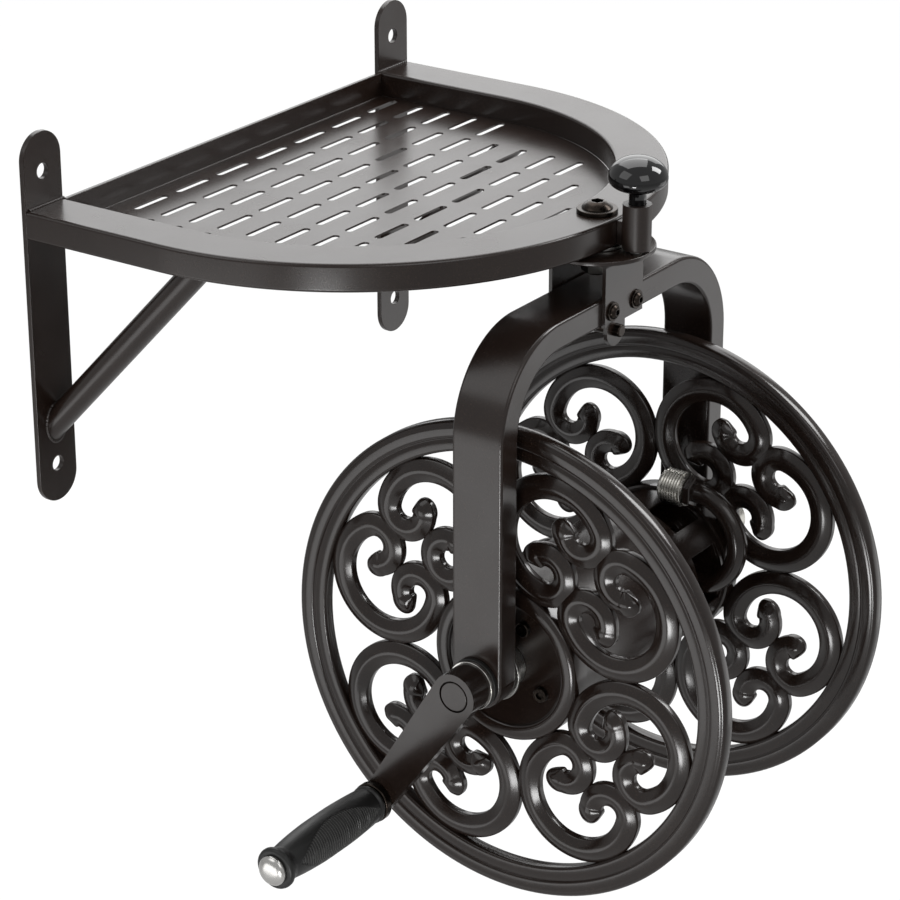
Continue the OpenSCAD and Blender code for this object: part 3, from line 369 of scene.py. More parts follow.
# Braces. Two round tubes from the wall bars up to the shelf's tube, cut on the slant at both ends
# and joined by a run of weld round each end.
for side in ("left", "right"):
    brace = side + "_brace"
    dress("brace_tube_" + side, brace, bronze_coat, edge_mm=0.0)
    low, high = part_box(brace)
    tube_r = (high.x - low.x) / 2
    middle_x = (high.x + low.x) / 2
    lean = math.atan2(high.y - low.y - 2 * tube_r, high.z - low.z - 2 * tube_r)
    foot_half = tube_r / math.sin(lean)
    top_half = tube_r / math.cos(lean)
    turns = [2 * math.pi * k / 64 for k in range(64)]
    foot = [(middle_x + tube_r * math.cos(t), high.y, low.z + foot_half + foot_half * math.sin(t))
            for t in turns]
    top = [(middle_x + tube_r * math.cos(t), low.y + top_half + top_half * math.sin(t), high.z)
           for t in turns]
    add_weld("brace_weld_foot_" + side, foot, brace_bead, closed=True)
    add_weld("brace_weld_top_" + side, top, brace_bead, closed=True)


# Pivot. A button head bolt with a hexagon recess goes down through a washer, the shelf's tube, a
# thrust washer, the index disc and the saddle, to a washer and a locking nut; black and zinc plated.
def plated_steel(name, shade, stain, roughness, scratch_mm):
    """Plated or blackened steel: bare metal gloss with fine turning marks and faint cloudy stain."""
    material, tree, place = new_finish(name)
    cloud = add_node(tree, "ShaderNodeTexNoise", {"Vector": place, "Scale": 1000 / 12.0, "Detail": 4.0})
    marks = add_node(tree, "ShaderNodeTexNoise", {"Vector": place, "Scale": 1000 / scratch_mm,
                                                  "Detail": 2.0})
    colour = add_node(tree, "ShaderNodeMix", {0: cloud.outputs["Fac"], 6: linear(shade), 7: linear(stain)},
                      data_type="RGBA")
    gloss = add_node(tree, "ShaderNodeMapRange", {"Value": marks.outputs["Fac"], "From Min": 0.3,
                                                  "From Max": 0.7, "To Min": roughness - 0.05,
                                                  "To Max": roughness + 0.07})
    bump = add_node(tree, "ShaderNodeBump", {"Height": marks.outputs["Fac"], "Strength": 0.5,
                                             "Distance": 0.00002})
    shader = end_finish(tree, colour, gloss, bump)
    shader.inputs["Metallic"].default_value = 1.0
    return material


def turned(name, profile, place, steps=64, closed=False):
    """A turned piece: a profile of radius, height and, for a hexagon, its six sides, in millimetres,
    spun about its own z and set in place by a matrix. A closed profile has a bore through it."""
    shape = bmesh.new()
    rings = []
    for radius, height, *sides in profile:
        if radius == 0:
            rings.append([shape.verts.new((0, 0, height / 1000))])
            continue
        ring = []
        for k in range(steps):
            turn = 2 * math.pi * k / steps
            reach = radius / 1000
            if sides:
                reach /= math.cos((turn + math.pi / 6) % (math.pi / 3) - math.pi / 6)
            ring.append(shape.verts.new((reach * math.cos(turn), reach * math.sin(turn), height / 1000)))
        rings.append(ring)
    pairs = list(zip(rings, rings[1:])) + ([(rings[-1], rings[0])] if closed else [])
    for lower, upper in pairs:
        for k in range(steps):
            corners = [lower[k % len(lower)], lower[(k + 1) % len(lower)],
                       upper[(k + 1) % len(upper)], upper[k % len(upper)]]
            shape.faces.new(list(dict.fromkeys(corners)))
    bmesh.ops.recalc_face_normals(shape, faces=shape.faces)
    shape.transform(place)
    return close_mesh(shape, name)


black_steel = plated_steel("black_oxide_steel", "#2b2724", "#3b342f", 0.27, 0.9)
zinc_steel = plated_steel("zinc_plated_steel", "#b9b8b4", "#a3a29f", 0.28, 0.8)
dull_zinc = plated_steel("dull_zinc_steel", "#5b5956", "#4a4846", 0.42, 0.8)
low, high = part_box("pivot_bolt")
bolt_top = high.z * 1000
bolt_head_r = (high.x - low.x) * 500
bolt_head_h = 6.5
bolt_socket = 4.0
pivot = Matrix.Translation(((low.x + high.x) / 2, (low.y + high.y) / 2, 0))
head_base = bolt_top - bolt_head_h
bolt_profile = [(0, low.z * 1000), (6.0, low.z * 1000), (6.0, head_base), (bolt_head_r - 0.4, head_base),
                (bolt_head_r, head_base + 0.4), (bolt_head_r, head_base + 1.2)]
bolt_dome_h = 5.3
dome_r = (bolt_head_r ** 2 + bolt_dome_h ** 2) / (2 * bolt_dome_h)
for k in range(1, 12):
    r = bolt_head_r - (bolt_head_r - bolt_socket - 1.0) * k / 11
    bolt_profile.append((r, head_base + 1.2 + bolt_dome_h - dome_r + math.sqrt(dome_r ** 2 - r ** 2)))
bolt_profile += [(bolt_socket, bolt_profile[-1][1] - 0.1, 6), (bolt_socket, head_base + 2.4, 6),
                 (0, head_base + 1.6)]
fit_piece("pivot_bolt_head", turned("pivot_bolt", bolt_profile, pivot, 96), black_steel,
          ["pivot_bolt"])
dress("pivot_head_washer", "pivot_washer", black_steel, edge_mm=0.6)
dress("pivot_thrust_washer", "thrust_washer", zinc_steel, edge_mm=0.4)
dress("pivot_nut_washer", "nut_washer", dull_zinc, edge_mm=0.4)
dress("pivot_lock_nut", "pivot_nut", dull_zinc, edge_mm=0.8)


# Plunger. A turned steel housing welded to the front of the shelf's tube holds a spring and a
# steel pin; a gloss black moulded knob on the pin is pulled up to free the fork. The spring's top
# stays in the housing and its foot follows the pin; here it is put on neither body.
def moulded(name, dark, light, roughness, grain_mm, grain_depth_mm, ior):
    """Moulded plastic or rubber: one deep colour with a faint bloom and a fine moulded grain."""
    material, tree, place = new_finish(name)
    bloom = add_node(tree, "ShaderNodeTexNoise", {"Vector": place, "Scale": 1000 / 16.0, "Detail": 3.0})
    grain = add_node(tree, "ShaderNodeTexNoise", {"Vector": place, "Scale": 1000 / grain_mm, "Detail": 2.0})
    colour = add_node(tree, "ShaderNodeMix", {0: bloom.outputs["Fac"], 6: linear(dark), 7: linear(light)},
                      data_type="RGBA")
    gloss = add_node(tree, "ShaderNodeMapRange", {"Value": bloom.outputs["Fac"], "From Min": 0.3,
                                                  "From Max": 0.7, "To Min": roughness * 0.9,
                                                  "To Max": roughness * 1.12})
    bump = add_node(tree, "ShaderNodeBump", {"Height": grain.outputs["Fac"], "Strength": 1.0,
                                             "Distance": grain_depth_mm / 1000})
    shader = end_finish(tree, colour, gloss, bump)
    shader.inputs["IOR"].default_value = ior
    return material


def paint_node(node, material):
    """Gives a CAD node that stays in view its finish."""
    frame["nodes"][node].data.materials.clear()
    frame["nodes"][node].data.materials.append(material)


gloss_knob = moulded("gloss_black_phenolic", "#050506", "#08080a", 0.06, 9.0, 0.006, 1.63)
barrel_coat = powder_coat("satin_barrel_coat", "#1f1612", "#281d18", 0.4, 3.5, 0.01)
dress("plunger_barrel", "plunger_housing", barrel_coat, edge_mm=0.7)
dress("plunger_steel_pin", "plunger_pin", zinc_steel, edge_mm=0.2)
paint_node("plunger_guide", zinc_steel)
low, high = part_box("plunger_spring")
spring = add_piece("plunger_coil_spring", cad_copy("plunger_spring"), zinc_steel, None,
                   crease=60)
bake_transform(spring)
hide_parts("plunger_spring")
low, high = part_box("plunger_knob")
knob_r = (high.x - low.x) * 500
knob_top = high.z * 1000
knob_low = low.z * 1000
knob_h = 24.3
knob_base = knob_top - knob_h
waist = knob_base + 9.5
knob_place = Matrix.Translation(((low.x + high.x) / 2, (low.y + high.y) / 2, 0))
knob_profile = [(0, knob_low + 0.1), (6.0, knob_low + 0.1), (6.0, knob_base - 1.2), (7.2, knob_base + 0.1)]
for k in range(19):
    t = math.radians(-82 + 82 * k / 18)
    knob_profile.append((knob_r * math.cos(t) ** 0.8, waist + 9.4 * math.sin(t)))
for k in range(1, 25):
    t = math.radians(90 * k / 24)
    crown_r = knob_r * math.cos(t) ** 0.92 if k < 24 else 0
    knob_profile.append((crown_r, waist + (knob_top - waist) * math.sin(t)))
fit_piece("plunger_ball_knob", turned("knob", knob_profile, knob_place, 96), gloss_knob,
          ["plunger_knob"], crease=50)

# Saddle. A plate bent over the fork and bolted to it, with an index disc on top that turns under the
# shelf's tube, two screws and washers on each cheek, and a round bar across the ears below.
dress("index_plate", "index_disc", bronze_coat, edge_mm=0.7)
dress("saddle_plate", "saddle", bronze_coat, edge_mm=0.6)
dress("saddle_screw_washers", "saddle_washers", black_steel, edge_mm=0.3)
dress("saddle_cross_bar", "support_pin", black_steel, edge_mm=1.0)

screw_tree, screw_in = new_tree("screws_in_place", {"Screw": "Object", "Finish": "Material"})
screw_shape = add_node(screw_tree, "GeometryNodeObjectInfo", {"Object": screw_in["Screw"]})
screw_turn = add_node(screw_tree, "GeometryNodeInputNamedAttribute", {"Name": "turn"},
                      data_type="FLOAT_VECTOR")
screw_set = add_node(screw_tree, "GeometryNodeInstanceOnPoints",
                     {"Points": screw_in["Geometry"], "Instance": screw_shape.outputs["Geometry"],
                      "Rotation": screw_turn.outputs[0]})
end_tree(screw_tree, screw_set.outputs[0], screw_in["Finish"])


def socket_screw(name, profile, flats, head_h, recess):
    """One screw along its own z, seat at zero: shank, head and a hexagon recess, in millimetres."""
    top = [(flats / 2 + 0.6, head_h), (flats / 2, head_h - 0.05, 6), (flats / 2, head_h - recess, 6),
           (0, head_h - recess - 0.6)]
    mesh = turned(name, profile + top, Matrix.Identity(4), 48)
    mesh.shade_smooth()
    mesh.set_sharp_from_angle(angle=math.radians(35))
    return add_object(name, mesh)


def set_screws(name, screw, places, node, finish):
    """Puts a screw at each place, a point and a turn, as one piece that stands for the node."""
    points = bpy.data.meshes.new("screw_points")
    points.from_pydata([p for p, turn in places], [], [])
    turns = points.attributes.new("turn", "FLOAT_VECTOR", "POINT")
    for k, (p, turn) in enumerate(places):
        turns.data[k].vector = turn
    mesh = run_tree(screw_tree, points, {"Screw": screw, "Finish": finish})
    bpy.data.objects.remove(screw)
    return fit_piece(name, mesh, finish, [node], crease=35)


low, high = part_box("saddle_screws")
button_r = (high.z - low.z) * 500
button_h = 3.4
button_dome_h = 2.9
dome_r = (button_r ** 2 + button_dome_h ** 2) / (2 * button_dome_h)
button = [(0, -8.4), (3.0, -8.4), (3.0, 0), (button_r, 0), (button_r, 0.5)]
for k in range(1, 9):
    r = button_r - (button_r - 2.6) * k / 8
    button.append((r, 0.5 + button_dome_h - dome_r + math.sqrt(dome_r ** 2 - r ** 2)))
places = []
for side in (-1, 1):
    seat = low.y + button_h / 1000 if side < 0 else high.y - button_h / 1000
    for x in (low.x + button_r / 1000, high.x - button_r / 1000):
        places.append(((x, seat, (low.z + high.z) / 2), (-side * math.pi / 2, 0, 0)))
screw = socket_screw("button_screw", button, 4.0, button[-1][1], 1.9)
set_screws("saddle_button_screws", screw, places, "saddle_screws", black_steel)

# Fork. One rectangular steel tube bent twice to straddle the reel, its feet cut round and closed by a
# bent strip, with a black nylon bush pressed through each leg for the axle.
black_nylon = moulded("black_nylon", "#131211", "#1a1918", 0.42, 1.6, 0.02, 1.53)
dress("fork_tube", "fork", bronze_coat, edge_mm=0.0, crease=25)
dress("fork_end_strips", "fork_ends", bronze_coat, edge_mm=0.0)
for side in ("left", "right"):
    dress("axle_bush_" + side, side + "_bush", black_nylon, edge_mm=0.6)

# Flanges. Two cast aluminium wheels: a moulded ring, a dished hub, and between them four cells of
# paired C scrolls with sloping flanks, a soft ridge and ball ends; powder coated over the casting skin.
cast_coat = powder_coat("bronze_powder_coat_on_casting", "#1b1310", "#241a15", 0.18, 4.5, 0.012)
scroll_centre = (101.0, 31.8)
scroll_r = 40.5
curl_r = 15.0
curl_tilt = 25.0
curl_sweeps = (201.0, 227.0)
scroll_half = 8.8
curl_half = 8.5
ball_r = 9.3
scroll_flank = [(8.8, 1.6), (8.7, 2.3), (8.3, 2.8), (7.6, 3.2),
                (4.6, 4.75), (3.2, 5.4), (2.1, 5.8), (1.0, 6.1)]
first_cell = 52.0


def curl_points(sweep):
    """A curl from its tip to the big arc: points about the scroll's centre, with half widths."""
    points = []
    ball_angle = math.degrees(ball_r / curl_r)
    for k in range(20):
        t = math.radians(90 * (1 - k / 20))
        points.append((-sweep - ball_angle * math.sin(t), max(ball_r * math.cos(t), 0.02)))
    for k in range(20):
        t = math.radians(90 * k / 20)
        points.append((-sweep + ball_angle * math.sin(t), max(ball_r * math.cos(t), curl_half)))
    start = points[-1][0]
    for k in range(1, 40):
        points.append((start * (1 - k / 40), curl_half + (scroll_half - curl_half) * k / 40))
    cx = (scroll_r - curl_r) * math.cos(math.radians(-curl_tilt))
    cy = (scroll_r - curl_r) * math.sin(math.radians(-curl_tilt))
    return [(cx + curl_r * math.cos(math.radians(a - curl_tilt)),
             cy + curl_r * math.sin(math.radians(a - curl_tilt)), half) for a, half in points]


outer_curl = curl_points(curl_sweeps[0])
inner_curl = [(-x, y, half) for x, y, half in reversed(curl_points(curl_sweeps[1]))]
big_arc = []
for k in range(73):
    a = math.radians(-curl_tilt + (180 + 2 * curl_tilt) * k / 72)
    big_arc.append((scroll_r * math.cos(a), scroll_r * math.sin(a), scroll_half))
scroll_line = outer_curl + big_arc + inner_curl

scroll_tree, scroll_in = new_tree("scroll_cells", {"Section": "Object", "Cells": "Int",
                                                   "First angle": "Float", "Finish": "Material"})
scroll_curve = add_node(scroll_tree, "GeometryNodeMeshToCurve", {"Mesh": scroll_in["Geometry"]})
scroll_up = add_node(scroll_tree, "GeometryNodeSetCurveNormal", {"Curve": scroll_curve.outputs[0]},
                     mode="Z_UP")
scroll_swell = add_node(scroll_tree, "GeometryNodeInputNamedAttribute", {"Name": "swell"},
                        data_type="FLOAT")
section_shape = add_node(scroll_tree, "GeometryNodeObjectInfo", {"Object": scroll_in["Section"]})
section_curve = add_node(scroll_tree, "GeometryNodeMeshToCurve",
                         {"Mesh": section_shape.outputs["Geometry"]})
one_scroll = add_node(scroll_tree, "GeometryNodeCurveToMesh", {"Curve": scroll_up.outputs[0],
                                                               "Profile Curve": section_curve.outputs[0],
                                                               "Scale": scroll_swell.outputs[0],
                                                               "Fill Caps": True})
twin = add_node(scroll_tree, "GeometryNodeTransform",
                {"Geometry": one_scroll.outputs[0], "Scale": (1, -1, 1)})
twin_out = add_node(scroll_tree, "GeometryNodeFlipFaces", {"Mesh": twin.outputs[0]})
pair = add_node(scroll_tree, "GeometryNodeJoinGeometry")
scroll_tree.links.new(one_scroll.outputs[0], pair.inputs[0])
scroll_tree.links.new(twin_out.outputs[0], pair.inputs[0])
cell_points = add_node(scroll_tree, "GeometryNodePoints", {"Count": scroll_in["Cells"]})
cell_index = add_node(scroll_tree, "GeometryNodeInputIndex")
cell_share = add_node(scroll_tree, "ShaderNodeMath", {0: 2 * math.pi, 1: scroll_in["Cells"]},
                      operation="DIVIDE")
cell_angle = add_node(scroll_tree, "ShaderNodeMath", {0: cell_index.outputs[0], 1: cell_share.outputs[0],
                                                      2: scroll_in["First angle"]}, operation="MULTIPLY_ADD")
cell_turn = add_node(scroll_tree, "ShaderNodeCombineXYZ", {"Z": cell_angle.outputs[0]})
cells = add_node(scroll_tree, "GeometryNodeInstanceOnPoints", {"Points": cell_points.outputs[0],
                                                               "Instance": pair.outputs[0],
                                                               "Rotation": cell_turn.outputs[0]})
end_tree(scroll_tree, cells.outputs[0], scroll_in["Finish"])

low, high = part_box("left_flange")
flange_r = (high.z - low.z) * 500 - 0.06
axle_y = (low.y + high.y) / 2
axle_z = (low.z + high.z) / 2
ring_t = 13.0
flange_plane = -low.x * 1000 - ring_t / 2
hub_in = -high.x * 1000 - flange_plane
reel_frame = Matrix(((0, 0, -1, 0), (-1, 0, 0, axle_y), (0, 1, 0, axle_z), (0, 0, 0, 1)))
ring_in = flange_r - 22.0
step_r = flange_r - 12.0
ring_side = [(ring_in, 3.0), (ring_in + 0.4, 4.4), (ring_in + 1.3, 5.2), (ring_in + 2.4, 5.4),
             (step_r - 1.3, 5.4), (step_r - 0.8, 5.1), (step_r - 0.2, 5.1), (step_r + 0.4, 5.7),
             (step_r + 1.2, 6.3), (step_r + 2.4, 6.5),
             (flange_r - 5.6, 6.5), (flange_r - 3.8, 6.3), (flange_r - 3.2, 5.9), (flange_r - 2.8, 5.9),
             (flange_r - 1.6, 5.5), (flange_r - 0.6, 4.8), (flange_r, 3.8)]
ring_profile = ring_side + [(r, -z) for r, z in reversed(ring_side)]
hub_r = 58.0
hub_flat = 3.5
hub_bore = 10.05
hub_profile = [(hub_bore, hub_flat), (45.4, hub_flat), (46.0, hub_flat + 0.3), (46.6, 5.6), (47.6, 6.3),
               (49.5, 6.5), (53.5, 6.4), (56.0, 5.6), (57.4, 4.4), (hub_r, 2.8), (hub_r, hub_in + 1.2),
               (hub_r - 1.2, hub_in), (hub_bore, hub_in)]


def flange_mesh(name, side):
    """A flange in place, on the crank's side for 1 and on the inlet's side for -1."""
    start = line_mesh("scroll_line", [((scroll_centre[0] + x) / 1000, (scroll_centre[1] + y) / 1000, 0)
                                      for x, y, half in scroll_line])
    swell = start.attributes.new("swell", "FLOAT", "POINT")
    for k, (x, y, half) in enumerate(scroll_line):
        swell.data[k].value = half / scroll_half
    upper = scroll_flank + [(-x, z) for x, z in reversed(scroll_flank)]
    outline = upper + [(x, -z) for x, z in reversed(upper)]
    outline = [(x / 1000, z / 1000, 0) for x, z in outline]
    section = add_object("scroll_section", line_mesh("scroll_section", outline, closed=True))
    cells_mesh = run_tree(scroll_tree, start, {"Section": section, "Cells": 4, "Finish": cast_coat,
                                               "First angle": math.radians(first_cell)})
    bpy.data.objects.remove(section)
    shape = bmesh.new()
    shape.from_mesh(cells_mesh)
    for profile, steps in ((ring_profile, 192), (hub_profile, 128)):
        shape.from_mesh(turned("round", profile, Matrix.Identity(4), steps, closed=True))
    shape.transform(Matrix.Translation((0, 0, flange_plane / 1000)))
    if side < 0:
        shape.transform(Matrix.Scale(-1, 4, (0, 0, 1)))
        bmesh.ops.reverse_faces(shape, faces=shape.faces)
    shape.transform(reel_frame)
    return close_mesh(shape, name)


for side, sign in (("left", 1), ("right", -1)):
    fit_piece("scroll_flange_" + side, flange_mesh("flange_" + side, sign), cast_coat,
              [side + "_flange"], crease=38)

# Drum and axle. A rolled steel drum with an end disc at each side, on a hollow axle that carries the
# water; four socket head screws hold each hub, and a zinc plated spacer keeps it off the fork's leg.
dress("drum_shell", "drum", bronze_coat, edge_mm=0.5)
for side in ("left", "right"):
    dress("drum_end_" + side, side + "_drum_cap", bronze_coat, edge_mm=0.5)
dress("axle_tube", "axle", zinc_steel, edge_mm=0.4)
dress("hub_spacer_tubes", "hub_spacers", zinc_steel, edge_mm=0.5)
cap_screw_h = 4.0
cap_screw_r = 5.2
hub_screw_r = 34.0
hub_screw_first = -27.0
hub_face = flange_plane + hub_flat
cap_screw = [(0, -23.5), (3.0, -23.5), (3.0, 0), (cap_screw_r, 0), (cap_screw_r, cap_screw_h - 0.6),
             (cap_screw_r - 0.6, cap_screw_h)]
places = []
for side in (-1, 1):
    for k in range(4):
        a = math.radians(90 * k + hub_screw_first)
        spot = Vector((hub_screw_r * math.cos(a), hub_screw_r * math.sin(a), side * hub_face)) / 1000
        places.append((reel_frame @ spot, (0, -side * math.pi / 2, 0)))
screw = socket_screw("cap_screw", cap_screw, 5.0, cap_screw_h, 2.4)
set_screws("hub_cap_screws", screw, places, "hub_screws", black_steel)

# Crank. A cast arm on a boss, pinned to the axle over a bright steel washer; a round plug closes the
# axle's end in a sunk seat.
bright_washer = plated_steel("polished_steel_washer", "#cfcdc9", "#bdbbb7", 0.16, 0.7)
dress("crank_cast_arm", "crank_arm", cast_coat, edge_mm=0.9)
dress("crank_axle_plug", "axle_plug", cast_coat, edge_mm=0.6)
dress("crank_bright_washer", "crank_washer", bright_washer, edge_mm=0.4)
dress("crank_cross_pin", "crank_pin", zinc_steel, edge_mm=0.5)

# Outlet. A coated steel tube bent back over the drum, with a plated brass hose fitting on its end:
# a collar with flats, coated with the tube, and a coarse hose thread cut on a lathe and left bright.
plated_brass = plated_steel("nickel_plated_brass", "#c9c7c2", "#aeaba3", 0.26, 1.2)
dress("outlet_bent_tube", "outlet_tube", cast_coat, edge_mm=0.0)

thread_tree, thread_in = new_tree("hose_thread", {"Turns": "Float", "Radius": "Float", "Length": "Float",
                                                  "Ridge": "Float", "Finish": "Material"})
thread_path = add_node(thread_tree, "GeometryNodeCurveSpiral",
                       {"Resolution": 72, "Rotations": thread_in["Turns"],
                        "Start Radius": thread_in["Radius"], "End Radius": thread_in["Radius"],
                        "Height": thread_in["Length"]})
thread_up = add_node(thread_tree, "GeometryNodeSetCurveNormal", {"Curve": thread_path.outputs[0]},
                     mode="Z_UP")
thread_section = add_node(thread_tree, "GeometryNodeCurvePrimitiveCircle", {"Resolution": 6,
                                                                            "Radius": thread_in["Ridge"]})
thread_mesh = add_node(thread_tree, "GeometryNodeCurveToMesh", {"Curve": thread_up.outputs[0],
                                                                "Profile Curve": thread_section.outputs[0],
                                                                "Fill Caps": True})
end_tree(thread_tree, thread_mesh.outputs[0], thread_in["Finish"])

thread_r = 13.2
thread_l = 20.0
thread_pitch = 2.2
thread_depth = 1.1
collar_l = 6.0


def fitting_collar(name, bore, flats, place):
    """The hexagon collar of a hose fitting, along its own z from its seat."""
    profile = [(bore, 0), (flats - 0.7, 0, 6), (flats, 0.7, 6), (flats, collar_l - 0.7, 6),
               (flats - 0.5, collar_l, 6), (bore, collar_l)]
    return turned(name, profile, place, 72, closed=True)


def fitting_thread(name, bore, place):
    """The threaded end of a hose fitting above its collar: a core, its helical ridge, and a bore."""
    core = thread_r - thread_depth
    end = collar_l + thread_l
    profile = [(bore, collar_l), (core - 0.5, collar_l), (core - 0.5, collar_l + 1.6),
               (core, collar_l + 2.0), (core, end - 0.8), (core - 0.8, end), (bore + 0.5, end),
               (bore, end - 0.5)]
    ridge_l = thread_l - 4.2
    ridge = run_tree(thread_tree, bpy.data.meshes.new("thread_start"),
                     {"Turns": ridge_l / thread_pitch, "Radius": (core + 0.1) / 1000,
                      "Length": ridge_l / 1000, "Ridge": 0.95 / 1000, "Finish": plated_brass})
    shape = bmesh.new()
    shape.from_mesh(ridge)
    shape.transform(Matrix.Translation((0, 0, (collar_l + 3.0) / 1000)))
    shape.from_mesh(turned(name, profile, Matrix.Identity(4), 72, closed=True))
    shape.transform(place)
    return close_mesh(shape, name)


low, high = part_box("outlet_fitting")
outlet_seat = Vector(((low.x + high.x) / 2, low.y, (low.z + high.z) / 2))
outlet_place = Matrix.Translation(outlet_seat) @ Matrix.Rotation(-math.pi / 2, 4, "X")
outlet_bore = 7.3
fit_piece("outlet_hose_thread", fitting_thread("outlet_thread", outlet_bore, outlet_place), plated_brass,
          ["outlet_fitting"], crease=35)
outlet_collar = fitting_collar("outlet_collar", outlet_bore, 10.2, outlet_place)
add_piece("outlet_hose_collar", outlet_collar, cast_coat, "reel", crease=35)


# Grip. A black rubber sleeve that turns on a steel spindle bolted through the crank's arm, with a
# fine ribbed panel on two sides and a polished domed cap over the spindle's end.
grip_rubber = moulded("matt_black_rubber", "#0f0f0f", "#161615", 0.44, 1.3, 0.02, 1.52)
polished_cap = plated_steel("polished_stainless_cap", "#d6d5d2", "#c8c6c3", 0.2, 0.8)
low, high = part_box("grip")
grip_start = -high.x * 1000
grip_end = -low.x * 1000
spindle_y = (low.y + high.y) / 2
spindle_z = (low.z + high.z) / 2
spindle_place = Matrix(((0, 0, -1, 0), (-1, 0, 0, spindle_y), (0, 1, 0, spindle_z), (0, 0, 0, 1)))
barrel_l = grip_end - grip_start - 11.0
grip_profile = [(5.1, grip_start), (12.9, grip_start), (13.8, grip_start + 0.8), (14.0, grip_start + 2.4),
                (13.7, grip_start + 3.4), (12.8, grip_start + 4.0), (12.7, grip_start + 5.0)]
barrel_start = grip_start + 5.4
barrel_steps = 330
for k in range(1, barrel_steps + 1):
    t = k / barrel_steps
    swell = 2.1 * math.sin(math.pi * t) ** 0.85
    along = barrel_start + (barrel_l - barrel_start + grip_start) * t
    grip_profile.append((13.3 + swell - 0.9 * t ** 6, along))
neck_r = grip_profile[-1][0]
grip_profile += [(neck_r + 0.1, grip_start + barrel_l + 2.0), (neck_r + 0.9, grip_end - 6.6),
                 (14.3, grip_end - 5.2), (14.9, grip_end - 4.0), (15.0, grip_end - 2.4),
                 (14.6, grip_end - 1.0), (13.4, grip_end - 0.1), (12.4, grip_end), (5.1, grip_end)]

rib_tree, rib_in = new_tree("ribbed_panel", {"Middle": "Float", "Half length": "Float",
                                             "Half angle": "Float", "Pitch": "Float", "Depth": "Float",
                                             "Finish": "Material"})
rib_place = add_node(rib_tree, "GeometryNodeInputPosition")
rib_axes = add_node(rib_tree, "ShaderNodeSeparateXYZ", {0: rib_place.outputs[0]})
rib_along = add_node(rib_tree, "ShaderNodeMath", {0: rib_axes.outputs["Z"], 1: rib_in["Middle"]},
                     operation="SUBTRACT")
rib_share = add_node(rib_tree, "ShaderNodeMath", {0: rib_along.outputs[0], 1: rib_in["Half length"]},
                     operation="DIVIDE")
rib_square = add_node(rib_tree, "ShaderNodeMath", {0: rib_share.outputs[0], 1: rib_share.outputs[0]},
                      operation="MULTIPLY")
rib_side = add_node(rib_tree, "ShaderNodeMath", {0: rib_axes.outputs["X"]}, operation="ABSOLUTE")
rib_angle = add_node(rib_tree, "ShaderNodeMath", {0: rib_axes.outputs["Y"], 1: rib_side.outputs[0]},
                     operation="ARCTAN2")
rib_reach = add_node(rib_tree, "ShaderNodeMath", {0: rib_angle.outputs[0], 1: rib_in["Half angle"]},
                     operation="DIVIDE")
rib_reach_2 = add_node(rib_tree, "ShaderNodeMath", {0: rib_reach.outputs[0]}, operation="ABSOLUTE")
rib_lens = add_node(rib_tree, "ShaderNodeMath", {0: rib_square.outputs[0], 1: rib_reach_2.outputs[0]},
                    operation="ADD")
rib_inside = add_node(rib_tree, "ShaderNodeMapRange", {"Value": rib_lens.outputs[0], "From Min": 1.0,
                                                       "From Max": 0.93, "To Min": 0.0, "To Max": 1.0})
rib_phase = add_node(rib_tree, "ShaderNodeMath", {0: rib_along.outputs[0], 1: rib_in["Pitch"]},
                     operation="DIVIDE")
rib_turns = add_node(rib_tree, "ShaderNodeMath", {0: rib_phase.outputs[0], 1: 2 * math.pi},
                     operation="MULTIPLY")
rib_wave = add_node(rib_tree, "ShaderNodeMath", {0: rib_turns.outputs[0]}, operation="COSINE")
rib_groove = add_node(rib_tree, "ShaderNodeMapRange", {"Value": rib_wave.outputs[0], "From Min": 0.5,
                                                       "From Max": -0.6, "To Min": 0.25, "To Max": 1.0})
rib_depth = add_node(rib_tree, "ShaderNodeMath", {0: rib_groove.outputs[0], 1: rib_inside.outputs[0]},
                     operation="MULTIPLY")
rib_sink = add_node(rib_tree, "ShaderNodeMath", {0: rib_depth.outputs[0], 1: rib_in["Depth"]},
                    operation="MULTIPLY")
rib_down = add_node(rib_tree, "ShaderNodeMath", {0: rib_sink.outputs[0], 1: -1.0}, operation="MULTIPLY")
rib_out = add_node(rib_tree, "ShaderNodeCombineXYZ",
                   {"X": rib_axes.outputs["X"], "Y": rib_axes.outputs["Y"]})
rib_unit = add_node(rib_tree, "ShaderNodeVectorMath", {0: rib_out.outputs[0]}, operation="NORMALIZE")
rib_move = add_node(rib_tree, "ShaderNodeVectorMath",
                    {0: rib_unit.outputs[0], "Scale": rib_down.outputs[0]}, operation="SCALE")
rib_set = add_node(rib_tree, "GeometryNodeSetPosition", {"Geometry": rib_in["Geometry"],
                                                         "Offset": rib_move.outputs[0]})
# The groove depth is kept so that the rubber's finish can paint highlight on the crests and shade in the
# grooves.
rib_kept = add_node(rib_tree, "GeometryNodeStoreNamedAttribute",
                    {"Geometry": rib_set.outputs[0], "Name": "groove", "Value": rib_depth.outputs[0]},
                    data_type="FLOAT")
end_tree(rib_tree, rib_kept.outputs[0], rib_in["Finish"])
